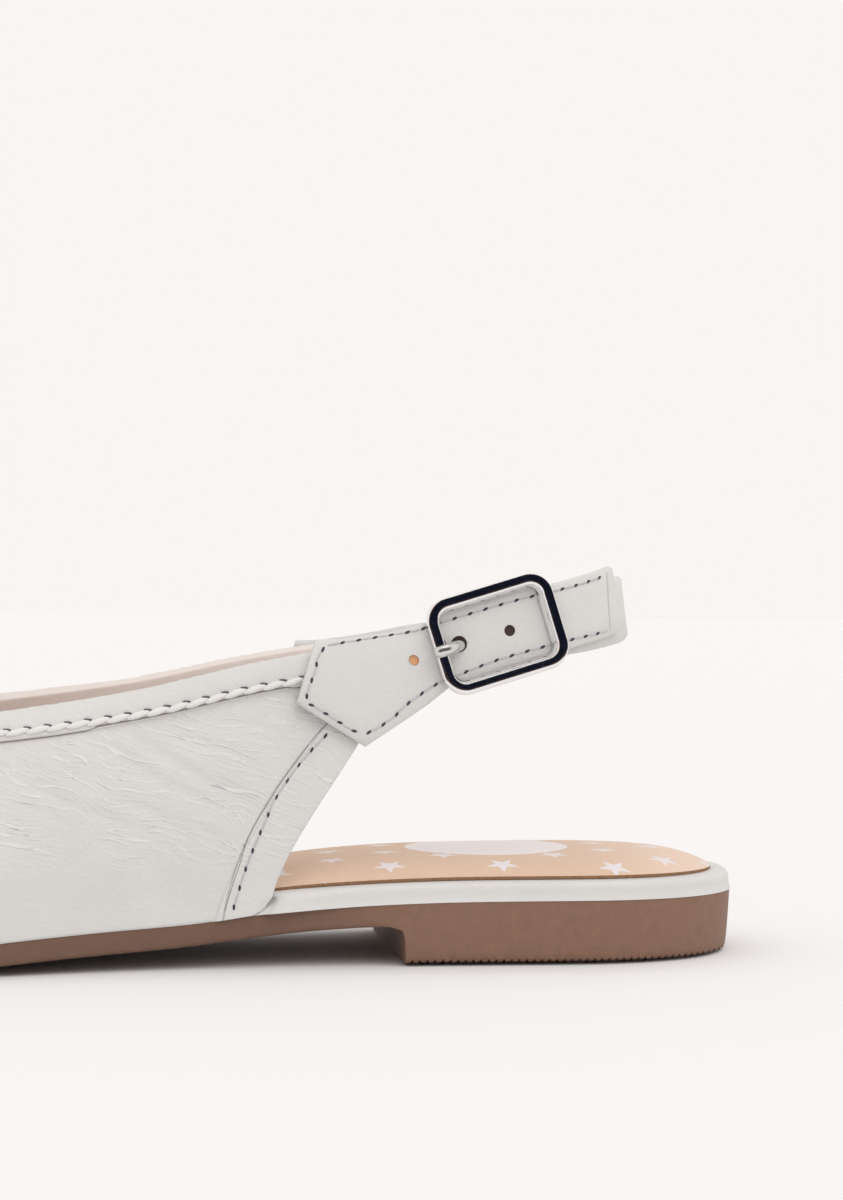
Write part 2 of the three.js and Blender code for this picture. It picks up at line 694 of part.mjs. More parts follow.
// Ring across a strap between its lower and upper edge, with eased edges
const STRAP_COLUMNS = [0, 0.05, 0.3, 0.5, 0.7, 0.95, 1];
const EDGE_SHARE = 0.45;

function strapRing({ low, top }, layer, side) {
  const at = (share, face) => {
    const half = (strapThickness / 2) * (share === 0 || share === 1 ? EDGE_SHARE : 1);
    return seatedPoint(lerp(low[0], top[0], share), lerp(low[1], top[1], share), face * half, layer, side);
  };
  const outside = STRAP_COLUMNS.map((share) => at(share, 1));
  const inside = STRAP_COLUMNS.map((share) => at(share, -1));
  return [...outside, ...inside.reverse()];
}

// Frame of a point on the strap: X forward along it, Y out of it, Z up across it
function strapFrame(run, z, depth, tilt) {
  const origin = strapPoint(run, z, depth);
  const out = strapPoint(run, z, depth + 1).sub(origin).normalize();
  const forward = strapPoint(run - 1, z, depth).sub(strapPoint(run + 1, z, depth)).normalize();
  const up = new THREE.Vector3().crossVectors(forward, out).normalize();
  forward.applyAxisAngle(out, tilt);
  up.applyAxisAngle(out, tilt);
  return new THREE.Matrix4().makeBasis(forward, out, up).setPosition(origin);
}

const buckleFrameMatrix = strapFrame(0, buckleHeight, 0, radians(buckleTilt));
const inBuckle = (geometry) => geometry.applyMatrix4(buckleFrameMatrix);

// Billet strap with its holes
const outerLayer = strapThickness + gap; // the billet lies on the sling strap

function billetStrap() {
  const lines = [
    ...tabLines(rootRun, billetZ(rootRun), -1),
    ...strapLines(billetZ, strapWidth, rootRun, tipLength),
  ];
  let solid = solidOf(loft(lines.map((line) => strapRing(line, outerLayer, OUTER))));
  const holes = [
    { forward: prongHoleRun + holePitch, radius: holeRadius },
    { forward: prongHoleRun, radius: prongHoleRadius },
    { forward: prongHoleRun - holePitch, radius: holeRadius },
  ];
  holes.forEach(({ forward, radius }) => {
    const punch = new THREE.CylinderGeometry(radius, radius, 4 * strapThickness, 16);
    const z = billetZ(-forward) + holeDrift * forward;
    punch.applyMatrix4(strapFrame(-forward, z, outerLayer, 0));
    solid = solid.subtract(solidOf(punch));
  });
  return geometryOf(solid);
}

// Sling strap: from its loop on the buckle's bar round the heel to its tab on the inner quarter
const barDepth = -(strapThickness / 2 + gap + barRadius); // from the sling strap's middle
const barClearance = barRadius + gap;
const loopOuter = barClearance + strapThickness;

function slingStrap() {
  const lines = [
    ...strapLines(slingZ, slingWidth, 0, innerRoot),
    ...tabLines(innerRoot, slingZ(innerRoot), 1).reverse(),
  ];
  const sideOf = (line) => (line.low[0] < innerRoot / 2 ? OUTER : INNER);
  const strap = solidOf(loft(lines.map((line) => strapRing(line, 0, sideOf(line)))));
  const fold = new THREE.Shape();
  fold.moveTo(0, barDepth + loopOuter);
  fold.absarc(0, barDepth, loopOuter, Math.PI / 2, -Math.PI / 2, true);
  fold.lineTo(-foldLength * 0.6, -1.5 * strapThickness);
  fold.lineTo(-foldLength, -1.4 * strapThickness);
  fold.lineTo(-foldLength, -0.6 * strapThickness);
  fold.lineTo(0, 0);
  const eye = new THREE.Path();
  eye.absarc(0, barDepth, barClearance, 0, 2 * Math.PI, false);
  fold.holes.push(eye);
  const options = { depth: slingWidth, bevelEnabled: false, curveSegments: 8 };
  const folded = new THREE.ExtrudeGeometry(fold, options);
  folded.translate(0, 0, -slingWidth / 2);
  inBuckle(folded);
  const slotLength = 2 * loopOuter + 0.6;
  const slot = new THREE.BoxGeometry(slotLength, 3 * loopOuter, prongWidth + 2 * slotEase);
  slot.translate(slotLength / 2 - loopOuter + 0.2, barDepth, 0);
  inBuckle(slot);
  return geometryOf(strap.add(solidOf(folded)).subtract(solidOf(slot)));
}

// Buckle: rounded frame over the billet, and a bar under it on two short legs
const frameDepth = outerLayer + strapThickness / 2 + gap; // inner face of the frame

function roundedRectangle(shape, length, width, radius) {
  const [x, y] = [length / 2 - radius, width / 2 - radius];
  shape.absarc(x, y, radius, 0, Math.PI / 2, false);
  shape.absarc(-x, y, radius, Math.PI / 2, Math.PI, false);
  shape.absarc(-x, -y, radius, Math.PI, 1.5 * Math.PI, false);
  shape.absarc(x, -y, radius, 1.5 * Math.PI, 2 * Math.PI, false);
  shape.closePath();
}

function buckleFrame() {
  const bevel = 0.5;
  const outline = new THREE.Shape();
  roundedRectangle(outline, buckleLength - 2 * bevel, buckleWidth - 2 * bevel, frameCorner - bevel);
  const opening = new THREE.Path();
  const rail = frameWidth - bevel;
  roundedRectangle(opening, buckleLength - 2 * rail, buckleWidth - 2 * rail, frameCorner - rail);
  outline.holes.push(opening);
  const ring = new THREE.ExtrudeGeometry(outline, {
    depth: frameThickness - 2 * bevel,
    bevelSize: bevel,
    bevelThickness: bevel,
    bevelSegments: 2,
    curveSegments: 6,
  });
  ring.rotateX(-Math.PI / 2).translate(0, frameDepth + bevel, 0);
  inBuckle(ring);
  const railMiddle = (buckleWidth - frameWidth) / 2;
  const bar = new THREE.CylinderGeometry(barRadius, barRadius, 2 * railMiddle, 12);
  bar.rotateX(Math.PI / 2).translate(0, barDepth, 0);
  inBuckle(bar);
  let solid = solidOf(ring).add(solidOf(bar));
  const legTop = frameDepth + frameThickness / 2;
  [-1, 1].forEach((end) => {
    const leg = new THREE.CylinderGeometry(barRadius, barRadius, legTop - barDepth, 12);
    leg.translate(0, (legTop + barDepth) / 2, end * railMiddle);
    const knuckle = new THREE.SphereGeometry(barRadius, 12, 8);
    knuckle.translate(0, barDepth, end * railMiddle);
    solid = solid.add(solidOf(inBuckle(leg))).add(solidOf(inBuckle(knuckle)));
  });
  return geometryOf(solid);
}

// Prong: an eye on the bar, an arm up through the billet's hole and a tip resting on the front bar.
// The arm's way is given forward of the bar and out of the sling strap's middle.
function prong() {
  const frontBar = buckleLength / 2 - frameWidth / 2;
  const frameTop = frameDepth + frameThickness;
  const rest = frameTop + gap + prongThickness / 2;
  const half = prongThickness / 2;
  const eyeOuter = barClearance + prongThickness;
  const billetFace = outerLayer + strapThickness / 2;
  const way = new THREE.CatmullRomCurve3(
    [
      [barClearance + half, barDepth],
      [barClearance + 1.9, -0.5],
      [prongHoleRun - 0.6, billetFace - strapThickness - 0.2],
      [prongHoleRun + 0.4, billetFace],
      [prongHoleRun + 1.4, frameTop],
      [frontBar - 1.6, rest + 0.35],
      [frontBar - 0.2, rest + 0.35],
      [frontBar + frameWidth / 2 + 0.9, rest - 0.2],
    ].map(([forward, out]) => new THREE.Vector3(forward, out, 0)),
    false,
    "centripetal",
  );
  const section = new THREE.Shape();
  const [w, h] = [prongWidth / 2, half];
  const ease = 0.25;
  section.moveTo(-h + ease, -w).lineTo(h - ease, -w).lineTo(h, -w + ease).lineTo(h, w - ease);
  section.lineTo(h - ease, w).lineTo(-h + ease, w).lineTo(-h, w - ease).lineTo(-h, -w + ease);
  const rings = [];
  const corners = section.getPoints();
  corners.pop();
  const steps = 22;
  for (let i = 0; i <= steps; i += 1) {
    const point = way.getPointAt(i / steps);
    const tangent = way.getTangentAt(i / steps);
    const normal = new THREE.Vector3(-tangent.y, tangent.x, 0);
    const taper = i === steps ? 0.7 : 1;
    const corner = (c) => point.clone().addScaledVector(normal, c.x * taper).setZ(point.z + c.y * taper);
    rings.push(corners.map(corner));
  }
  const arm = loft(rings);
  const eyeShape = new THREE.Shape();
  eyeShape.absarc(0, 0, eyeOuter, 0, 2 * Math.PI, false);
  const hole = new THREE.Path();
  hole.absarc(0, 0, barClearance, 0, 2 * Math.PI, true);
  eyeShape.holes.push(hole);
  const options = { depth: prongWidth, bevelEnabled: false, curveSegments: 10 };
  const eye = new THREE.ExtrudeGeometry(eyeShape, options);
  eye.translate(0, barDepth, -prongWidth / 2);
  return geometryOf(solidOf(inBuckle(eye)).add(solidOf(inBuckle(arm))));
}

// Colours and finishes
const brownRubber = new THREE.MeshStandardMaterial({ color: "#96735f", roughness: 0.6 });
const whiteLeather = new THREE.MeshStandardMaterial({ color: "#e1dfd9", roughness: 0.5 });
const tanSock = new THREE.MeshStandardMaterial({ color: "#ebc39b", roughness: 0.6 });
const polishedMetal = new THREE.MeshStandardMaterial({ color: "#d0d2d4", roughness: 0.1, metalness: 1 });

const shoe = new THREE.Group();

function addPiece(name, geometry, material) {
  const mesh = new THREE.Mesh(geometry, material);
  mesh.name = name;
  shoe.add(mesh);
}

addPiece("outsole", outsole(), brownRubber);
addPiece("insole_board", insoleBoard(), whiteLeather);
addPiece("sock_lining", sockLining(), tanSock);
addPiece("upper", upper(), whiteLeather);
addPiece("billet_strap", billetStrap(), whiteLeather);
addPiece("sling_strap", slingStrap(), whiteLeather);
addPiece("buckle_frame", buckleFrame(), polishedMetal);
addPiece("buckle_prong", prong(), polishedMetal);

export default shoe;
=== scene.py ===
"""Slingback ballet flat, left shoe: leather, thread, sock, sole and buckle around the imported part.

Lengths are in metres. +Z is up, the toe points to -X and the outer side, with the buckle, faces -Y.
A station is a distance forward from the back of the heel, which lies 30 mm behind the origin.
"""

import math

import bmesh
import bpy
from mathutils import Matrix, Vector
from mathutils.bvhtree import BVHTree
from mathutils.kdtree import KDTree


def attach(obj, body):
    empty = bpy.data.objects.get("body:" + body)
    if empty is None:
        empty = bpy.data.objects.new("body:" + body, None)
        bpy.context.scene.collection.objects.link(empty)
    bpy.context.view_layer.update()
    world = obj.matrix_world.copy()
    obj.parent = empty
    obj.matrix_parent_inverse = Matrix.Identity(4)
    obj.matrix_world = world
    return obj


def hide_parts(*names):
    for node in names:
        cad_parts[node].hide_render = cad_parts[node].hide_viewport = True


MM = 0.001
HEEL_BACK = 30 * MM
OUTER = -1
INNER = 1

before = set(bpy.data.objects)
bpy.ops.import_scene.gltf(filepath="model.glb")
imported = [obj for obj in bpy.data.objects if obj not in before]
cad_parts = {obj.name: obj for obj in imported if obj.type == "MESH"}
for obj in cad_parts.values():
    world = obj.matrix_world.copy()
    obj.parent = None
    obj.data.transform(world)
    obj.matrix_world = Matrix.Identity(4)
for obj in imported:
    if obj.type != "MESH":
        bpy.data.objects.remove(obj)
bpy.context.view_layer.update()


# Selection and small mesh helpers


def deselect_all():
    """Nothing is selected or active in object mode."""
    if bpy.context.mode != "OBJECT":
        bpy.ops.object.mode_set(mode="OBJECT")
    bpy.ops.object.select_all(action="DESELECT")


def select_only(*pieces):
    """These pieces are selected and the first one is active."""
    deselect_all()
    for piece in pieces:
        piece.select_set(True)
    bpy.context.view_layer.objects.active = pieces[0]


def copy_of_node(node, name):
    """A copy of a CAD node with its doubles merged and its triangles paired to quads."""
    piece = bpy.data.objects.new(name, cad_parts[node].data.copy())
    bpy.context.scene.collection.objects.link(piece)
    piece.data.materials.clear()
    select_only(piece)
    bpy.ops.object.mode_set(mode="EDIT")
    bpy.ops.mesh.select_all(action="SELECT")
    bpy.ops.mesh.remove_doubles(threshold=0.002 * MM)
    bpy.ops.mesh.tris_convert_to_quads(face_threshold=0.7, shape_threshold=1.2)
    bpy.ops.object.mode_set(mode="OBJECT")
    return piece


def crease_sharp_edges(piece, degrees, strength=1.0):
    """Edges that turn by more than this angle stay sharp under subdivision."""
    shape = bmesh.new()
    shape.from_mesh(piece.data)
    creases = shape.edges.layers.float.get("crease_edge") or shape.edges.layers.float.new("crease_edge")
    for edge in shape.edges:
        if len(edge.link_faces) == 2 and edge.calc_face_angle(0) > math.radians(degrees):
            edge[creases] = strength
    shape.to_mesh(piece.data)
    shape.free()


def apply_modifier(piece, kind, **settings):
    """One modifier, set and applied."""
    modifier = piece.modifiers.new(kind.title(), kind)
    for name, value in settings.items():
        setattr(modifier, name, value)
    select_only(piece)
    bpy.ops.object.modifier_apply(modifier=modifier.name)


def subdivided(piece, levels):
    """The piece smoothed by a subdivision surface."""
    apply_modifier(piece, "SUBSURF", levels=levels, render_levels=levels, quality=3)
    smooth(piece, 40)


def smooth(piece, degrees):
    select_only(piece)
    bpy.ops.object.shade_smooth_by_angle(angle=math.radians(degrees))


def surface_of(piece):
    """The piece's surface, for finding points and normals on it."""
    return BVHTree.FromObject(piece, bpy.context.evaluated_depsgraph_get())


def finish_piece(piece, material, slot, *nodes):
    """The piece gets its material, rides on the shoe and stands for these CAD nodes; the slot is not used."""
    if material is not None:
        piece.data.materials.clear()
        piece.data.materials.append(material)
    if nodes:
        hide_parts(*nodes)
    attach(piece, "root")
    return piece


# Curves through short tables


def eased(rows, value):
    """Smooth curve through rows of (place, amount)."""
    last = len(rows) - 2
    i = 0
    while i < last and value > rows[i + 1][0]:
        i += 1

    def slope(k):
        a, b = rows[max(k - 1, 0)], rows[min(k + 1, len(rows) - 1)]
        return (b[1] - a[1]) / (b[0] - a[0])

    span = rows[i + 1][0] - rows[i][0]
    t = min(max((value - rows[i][0]) / span, 0), 1)
    c = 1 - t
    return (
        rows[i][1] * (1 + 2 * t) * c * c
        + slope(i) * span * t * c * c
        + rows[i + 1][1] * (3 - 2 * t) * t * t
        - slope(i + 1) * span * t * t * c
    )


def along_points(points, pitch, start=0.0):
    """Places at an even pitch along a line of 3-D points, each with its direction."""
    places = []
    travelled = 0.0
    target = start
    for a, b in zip(points, points[1:]):
        length = (b - a).length
        while length > 0 and travelled + length >= target:
            share = (target - travelled) / length
            places.append((a.lerp(b, share), (b - a).normalized()))
            target += pitch
        travelled += length
    return places


# Node helpers


class Nodes:
    """A material's node tree, with short calls to add and link nodes."""

    def __init__(self, name):
        self.material = bpy.data.materials.new(name)
        self.material.use_nodes = True
        self.tree = self.material.node_tree
        self.shader = self.tree.nodes["Principled BSDF"]
        self.place = self.add("ShaderNodeTexCoord").outputs["Object"]

    def add(self, kind, inputs=None, **settings):
        node = self.tree.nodes.new(kind)
        for name, value in settings.items():
            setattr(node, name, value)
        for name, value in (inputs or {}).items():
            self.put(node.inputs[name], value)
        return node

    def put(self, socket, value):
        if isinstance(value, bpy.types.NodeSocket):
            self.tree.links.new(value, socket)
        else:
            socket.default_value = value

    def set(self, **values):
        for name, value in values.items():
            self.put(self.shader.inputs[name.replace("_", " ")], value)

    def math(self, operation, a, b=0.0, c=0.0, clamp=False):
        node = self.add("ShaderNodeMath", {0: a, 1: b, 2: c}, operation=operation, use_clamp=clamp)
        return node.outputs[0]

    def step(self, value, low, high, first=0.0, last=1.0):
        """A smooth step of value between low and high."""
        node = self.add(
            "ShaderNodeMapRange",
            {"Value": value, "From Min": low, "From Max": high, "To Min": first, "To Max": last},
            interpolation_type="SMOOTHSTEP",
        )
        return node.outputs["Result"]

    def stretched(self, stretch, slant=0.0):
        """Places stretched along the shoe's axes, the first one slanting down towards the heel."""
        mapping = self.add(
            "ShaderNodeMapping",
            {"Vector": self.place, "Scale": stretch, "Rotation": (0, math.radians(slant), 0)},
            vector_type="TEXTURE",
        )
        return mapping.outputs["Vector"]

    def noise(self, scale, detail=2.0, roughness=0.5, place=None, distortion=0.0):
        """Noise with a size in metres."""
        place = place or self.place
        node = self.add(
            "ShaderNodeTexNoise",
            {
                "Vector": place,
                "Scale": 1 / scale,
                "Detail": detail,
                "Roughness": roughness,
                "Distortion": distortion,
            },
        )
        return node.outputs["Fac"]

    def crease_lines(self, spacing, slant, thin):
        """Long wandering ridges that slant down towards the heel and come and go."""
        parts = self.add("ShaderNodeSeparateXYZ", {"Vector": self.place})
        angle = math.radians(slant)
        across = self.math("MULTIPLY", parts.outputs["X"], math.sin(angle) / spacing)
        across = self.math("MULTIPLY_ADD", parts.outputs["Z"], math.cos(angle) / spacing, across)
        wander = self.noise(8 * MM, 2, 0.35, self.stretched((1.6, 1, 1), slant))
        phase = self.math("MULTIPLY_ADD", wander, 8 * MM / spacing, across)
        wave = self.math("SINE", self.math("MULTIPLY", phase, 2 * math.pi))
        here = self.step(self.noise(spacing, 1, 0.4, self.stretched((5.5, 1, 1), slant)), 0.4, 0.62)
        return self.math("MULTIPLY", self.step(wave, thin, 1.0), here)

    def cells(self, scale, feature="F1"):
        node = self.add("ShaderNodeTexVoronoi", {"Vector": self.place, "Scale": 1 / scale}, feature=feature)
        return node.outputs["Distance"]

    def mix(self, share, first, second):
        """A colour between two colours."""
        node = self.add("ShaderNodeMix", data_type="RGBA")
        self.put(node.inputs[0], share)
        self.put(node.inputs[6], first)
        self.put(node.inputs[7], second)
        return node.outputs[2]

    def bump(self, height, depth, normal=None, strength=1.0):
        """Relief of a height that runs from 0 to 1, with its depth in metres."""
        inputs = {"Height": height, "Distance": depth, "Strength": strength}
        if normal is not None:
            inputs["Normal"] = normal
        return self.add("ShaderNodeBump", inputs).outputs["Normal"]


def colour(red, green, blue):
    """A colour given as it looks on a screen, 0 to 255."""

    def linear(value):
        value /= 255
        return value / 12.92 if value <= 0.04045 else ((value + 0.055) / 1.055) ** 2.4

    return (linear(red), linear(green), linear(blue), 1.0)


# Materials


def white_leather(name, grain=1.0, creased=False, gathered=False):
    """Off-white leather with a fine grain, and slanting creases where it bends or is gathered; the bent creases carry
    painted highlight on their ridges.
    """
    m = Nodes(name)
    tone = m.noise(9 * MM, 3)
    base = m.mix(tone, LEATHER_DARK, LEATHER_LIGHT)
    pores = m.noise(0.45 * MM, 3, 0.6)
    relief = m.bump(pores, 0.03 * MM * grain)
    pebble = m.cells(0.75 * MM, "SMOOTH_F1")
    relief = m.bump(pebble, 0.09 * MM * grain, relief)
    if creased:
        parts = m.add("ShaderNodeSeparateXYZ", {"Vector": m.place})
        height = parts.outputs["Z"]
        upper_part = m.math("MULTIPLY", m.step(height, 15 * MM, 25 * MM), m.step(parts.outputs["X"], -175 * MM, -145 * MM))
        patches = m.step(m.noise(11 * MM, 2), 0.35, 0.6)
        share = m.math("MULTIPLY", upper_part, m.math("MULTIPLY_ADD", patches, 0.6, 0.4))
        for spacing, slant, thin, depth in ((1.7 * MM, 21, 0.45, 0.12 * MM), (0.95 * MM, 17, 0.4, 0.09 * MM)):
            ridges = m.math("MULTIPLY", m.crease_lines(spacing, slant, thin), share)
            relief = m.bump(ridges, depth, relief)
            # Painted highlight: the crease ridges are lightened in colour, as if catching the light.
            base = m.mix(m.math("MULTIPLY", ridges, 0.5), base, colour(228, 227, 225))
        edge = m.math("MULTIPLY_ADD", height, -11.3, 0.0664)
        edge = m.math("MULTIPLY_ADD", edge, height, 99.35 * MM)
        station = m.math("SUBTRACT", HEEL_BACK, m.add("ShaderNodeSeparateXYZ", {"Vector": m.place}).outputs["X"])
        strip = m.step(m.math("SUBTRACT", edge, station), -0.3 * MM, 0.25 * MM)
        relief = m.bump(strip, 0.45 * MM, relief)
    if gathered:
        folds = m.noise(0.9 * MM, 2, 0.5, m.stretched((5.0, 1, 1), 58), distortion=0.4)
        relief = m.bump(folds, 0.16 * MM, relief)
    m.set(Base_Color=base, Roughness=0.46, Normal=relief, Coat_Weight=0.05, Coat_Roughness=0.35)
    m.set(Specular_IOR_Level=0.35)
    return m.material


def lining_leather():
    """Matt pinkish-beige lining."""
    m = Nodes("lining_leather")
    tone = m.noise(4 * MM, 3)
    base = m.mix(tone, colour(214, 204, 199), colour(223, 214, 209))
    m.set(Base_Color=base, Roughness=0.75, Normal=m.bump(m.noise(0.4 * MM, 3), 0.04 * MM))
    return m.material


def brown_sole():
    """Matt brown moulded sole with faint mottling, and painted shade that darkens it towards the toe."""
    m = Nodes("brown_sole")
    tone = m.noise(2.2 * MM, 4, 0.6)
    base = m.mix(tone, colour(118, 87, 70), colour(139, 105, 86))
    along = m.add("ShaderNodeSeparateXYZ", {"Vector": m.place}).outputs["X"]
    # Painted shade: the sole is darkened towards the toe, where the arch shades its side.
    base = m.mix(m.step(along, -30 * MM, -60 * MM, 0.0, 0.6), base, colour(96, 70, 58))
    relief = m.bump(m.noise(0.6 * MM, 3), 0.05 * MM)
    m.set(Base_Color=base, Roughness=0.62, Normal=relief)
    return m.material


def thread(name, tint):
    m = Nodes(name)
    twist = m.noise(0.35 * MM, 2)
    m.set(Base_Color=tint, Roughness=0.7, Normal=m.bump(twist, 0.05 * MM))
    return m.material


def polished_metal(name, tint, smoothest, roughest):
    """Plated metal with faint scuffs."""
    m = Nodes(name)
    scuffs = m.noise(1.5 * MM, 3)
    m.set(Base_Color=(*tint, 1), Metallic=1.0, Roughness=m.step(scuffs, 0.2, 0.9, smoothest, roughest))
    return m.material


def printed_sock():
    """Tan leather with a print of pale five-pointed stars, a bare pale disc on the heel and a raw edge."""
    m = Nodes("printed_sock")
    tan = m.mix(m.noise(3 * MM, 3), colour(204, 174, 150), colour(212, 185, 163))
    parts = m.add("ShaderNodeSeparateXYZ", {"Vector": m.place})
    tan = m.mix(m.step(parts.outputs["X"], -5 * MM, 24 * MM), tan, colour(220, 196, 178))
    x = m.math("MULTIPLY_ADD", parts.outputs["Y"], -0.048, parts.outputs["X"])
    y = m.math("MULTIPLY_ADD", parts.outputs["X"], 0.048, parts.outputs["Y"])
    outer_radius = 3.25 * MM
    inner_radius = 1.33 * MM
    corner = math.radians(36)
    normal_x = inner_radius * math.sin(corner)
    normal_y = outer_radius - inner_radius * math.cos(corner)
    size = math.hypot(normal_x, normal_y)
    reach = outer_radius * inner_radius * math.sin(corner) / size

    def stars(shift_x, shift_y):
        """One lattice of stars, as how far inside a star's edge a point is."""
        across = 20.8 * MM
        along = 14 * MM
        u = m.math("SUBTRACT", m.math("WRAP", m.math("ADD", x, shift_x), across, 0.0), across / 2)
        v = m.math("SUBTRACT", m.math("WRAP", m.math("ADD", y, shift_y), along, 0.0), along / 2)
        v = m.math("MULTIPLY", v, 1.12)
        distance = m.math("SQRT", m.math("ADD", m.math("MULTIPLY", u, u), m.math("MULTIPLY", v, v)))
        angle = m.math("ADD", m.math("ARCTAN2", v, u), math.radians(360 + 18))
        angle = m.math("PINGPONG", angle, corner)
        edge_x = m.math("MULTIPLY", m.math("COSINE", angle), normal_x / size)
        edge_y = m.math("MULTIPLY", m.math("SINE", angle), normal_y / size)
        along_normal = m.math("MULTIPLY", distance, m.math("ADD", edge_x, edge_y))
        return m.math("SUBTRACT", reach, along_normal)

    inside = m.math("MAXIMUM", stars(6.0 * MM, 1.2 * MM), stars(16.4 * MM, 8.2 * MM))
    print_share = m.step(inside, -0.08 * MM, 0.08 * MM)
    from_disc_x = m.math("ADD", x, 17 * MM)
    disc = m.math("SQRT", m.math("ADD", m.math("MULTIPLY", from_disc_x, from_disc_x), m.math("MULTIPLY", y, y)))
    disc_share = m.step(disc, 15.8 * MM, 15.6 * MM)
    pale = colour(218, 211, 213)
    base = m.mix(print_share, tan, pale)
    base = m.mix(disc_share, base, colour(224, 217, 217))
    m.set(Base_Color=base, Roughness=0.6, Normal=m.bump(m.noise(0.5 * MM, 3), 0.03 * MM))
    return m.material


def raw_edge():
    m = Nodes("raw_edge")
    tone = m.noise(0.7 * MM, 3)
    base = m.mix(tone, colour(112, 80, 55), colour(160, 122, 88))
    m.set(Base_Color=base, Roughness=0.85, Normal=m.bump(tone, 0.1 * MM))
    return m.material


LEATHER_DARK = colour(202, 200, 198)
LEATHER_LIGHT = colour(210, 209, 207)
leather = white_leather("upper_leather", creased=True)
binding_leather = white_leather("binding_leather", grain=0.7, gathered=True)
strap_leather = white_leather("strap_leather", grain=1.1)
rim_leather = white_leather("rim_leather", grain=0.7)
lining = lining_leather()
sole_brown = brown_sole()
white_thread = thread("white_thread", colour(219, 218, 216))
grey_thread = thread("grey_thread", colour(186, 185, 185))
# Painted shadow: thin dark lines laid in the gaps under the binding's lower edge and along the back strips' edges.
painted_seam_shadow = thread("painted_seam_shadow", colour(128, 118, 110))
billet_end_grey = thread("billet_end_grey", colour(190, 186, 181))
# Painted shade: dark marks set in the needle holes of the stitching and between the strands of the binding's rope.
needle_gap_shade = thread("needle_gap", colour(52, 56, 70))
rope_gap_shade = thread("rope_gap", colour(84, 88, 92))
frame_metal = polished_metal("polished_metal", (0.86, 0.86, 0.87), 0.04, 0.11)
# The prong's metal is darker and rougher than the frame's.
prong_metal = polished_metal("darker_prong_metal", (0.7, 0.7, 0.68), 0.2, 0.3)
hole_tan = thread("hole_tan", colour(214, 160, 118))
# Painted shade: dark discs at the bottom of the holes that lie in shadow.
hole_shade = thread("hole_shade", colour(66, 50, 38))
sock_print = printed_sock()
sock_edge = raw_edge()


# Sole, rim and sock

TREAD_PITCH = 1.4 * MM
TREAD_DEPTH = 1.35 * MM
HEEL_LENGTH = 66 * MM


def tread_cutter():
    """A row of three-sided bars that cut the fine teeth across the heel's underside."""
    deselect_all()
    bpy.ops.mesh.primitive_cylinder_add(vertices=3, radius=1, depth=1, rotation=(math.radians(90), 0, 0))
    cutter = bpy.context.active_object
    bpy.ops.object.transform_apply(location=False, rotation=True, scale=False)
    width = max(v.co.x for v in cutter.data.vertices) - min(v.co.x for v in cutter.data.vertices)
    low = min(v.co.z for v in cutter.data.vertices)
    tall = max(v.co.z for v in cutter.data.vertices) - low
    for vertex in cutter.data.vertices:
        x, y, z = vertex.co
        vertex.co = (x / width * 1.38 * MM, y * 80 * MM, (z - low) / tall * TREAD_DEPTH * 1.1 - 0.1 * TREAD_DEPTH)
        vertex.co.x += HEEL_BACK - HEEL_LENGTH + 1.2 * MM
    count = int((HEEL_LENGTH - 1 * MM) / TREAD_PITCH)
    apply_modifier(
        cutter,
        "ARRAY",
        count=count,
        use_relative_offset=False,
        use_constant_offset=True,
        constant_offset_displace=(TREAD_PITCH, 0, 0),
    )
    return cutter


def spread_edge(piece, upwards, reach, drop):
    """The rounded upper or lower edge becomes a full one that closes the seam to the next piece."""
    shape = bmesh.new()
    shape.from_mesh(piece.data)
    flat = [face for face in shape.faces if face.normal.z * upwards > 0.9]
    rows = {vertex for face in flat for vertex in face.verts}
    edge = [v for v in rows if any(face not in flat and abs(face.normal.z) < 0.9 for face in v.link_faces)]
    moves = []
    for vertex in edge:
        sides = [face.normal for face in vertex.link_faces if abs(face.normal.z) < 0.9]
        outward = sum(sides, Vector()) * 1.0
        outward.z = 0
        moves.append((vertex, outward.normalized() * reach + Vector((0, 0, drop * upwards))))
    for vertex, move in moves:
        vertex.co += move
    shape.to_mesh(piece.data)
    shape.free()


def outsole():
    sole = copy_of_node("outsole", "sole_with_heel")
    spread_edge(sole, 1, 0.38 * MM, 0.1 * MM)
    crease_sharp_edges(sole, 50)
    subdivided(sole, 2)
    cutter = tread_cutter()
    apply_modifier(sole, "BOOLEAN", operation="DIFFERENCE", object=cutter, solver="EXACT")
    bpy.data.objects.remove(cutter)
    smooth(sole, 40)
    finish_piece(sole, sole_brown, "sole", "outsole")


def rim():
    board = copy_of_node("insole_board", "leather_rim")
    for vertex in board.data.vertices:
        station = (HEEL_BACK - vertex.co.x) / MM
        if 86 < station < 94.5 and abs(vertex.co.y) > 23 * MM:
            share = min(1, (station - 86) / 6)
            vertex.co.y *= 1 + 0.075 * share * share * (3 - 2 * share)
    spread_edge(board, -1, 0.9 * MM, 0.45 * MM)
    crease_sharp_edges(board, 60)
    subdivided(board, 2)
    finish_piece(board, rim_leather, "white_leather", "insole_board")


def sock():
    pad = copy_of_node("sock_lining", "printed_sock")
    sides = [tuple(face.vertices) for face in pad.data.polygons if abs(face.normal.z) < 0.5]
    edge = BVHTree.FromPolygons([vertex.co.copy() for vertex in pad.data.vertices], sides)
    for vertex in pad.data.vertices:
        away = edge.find_nearest(vertex.co)[3]
        drop = 0.3 + 0.6 * math.exp(-away / (1.5 * MM))
        vertex.co.z -= (0.45 if vertex.normal.z < -0.2 else drop) * MM
    crease_sharp_edges(pad, 50)
    subdivided(pad, 2)
    pad.data.materials.append(sock_print)
    pad.data.materials.append(sock_edge)
    for face in pad.data.polygons:
        if abs(face.normal.z) < 0.5:
            face.material_index = 1
    finish_piece(pad, None, "tan_leather", "sock_lining")


# Upper

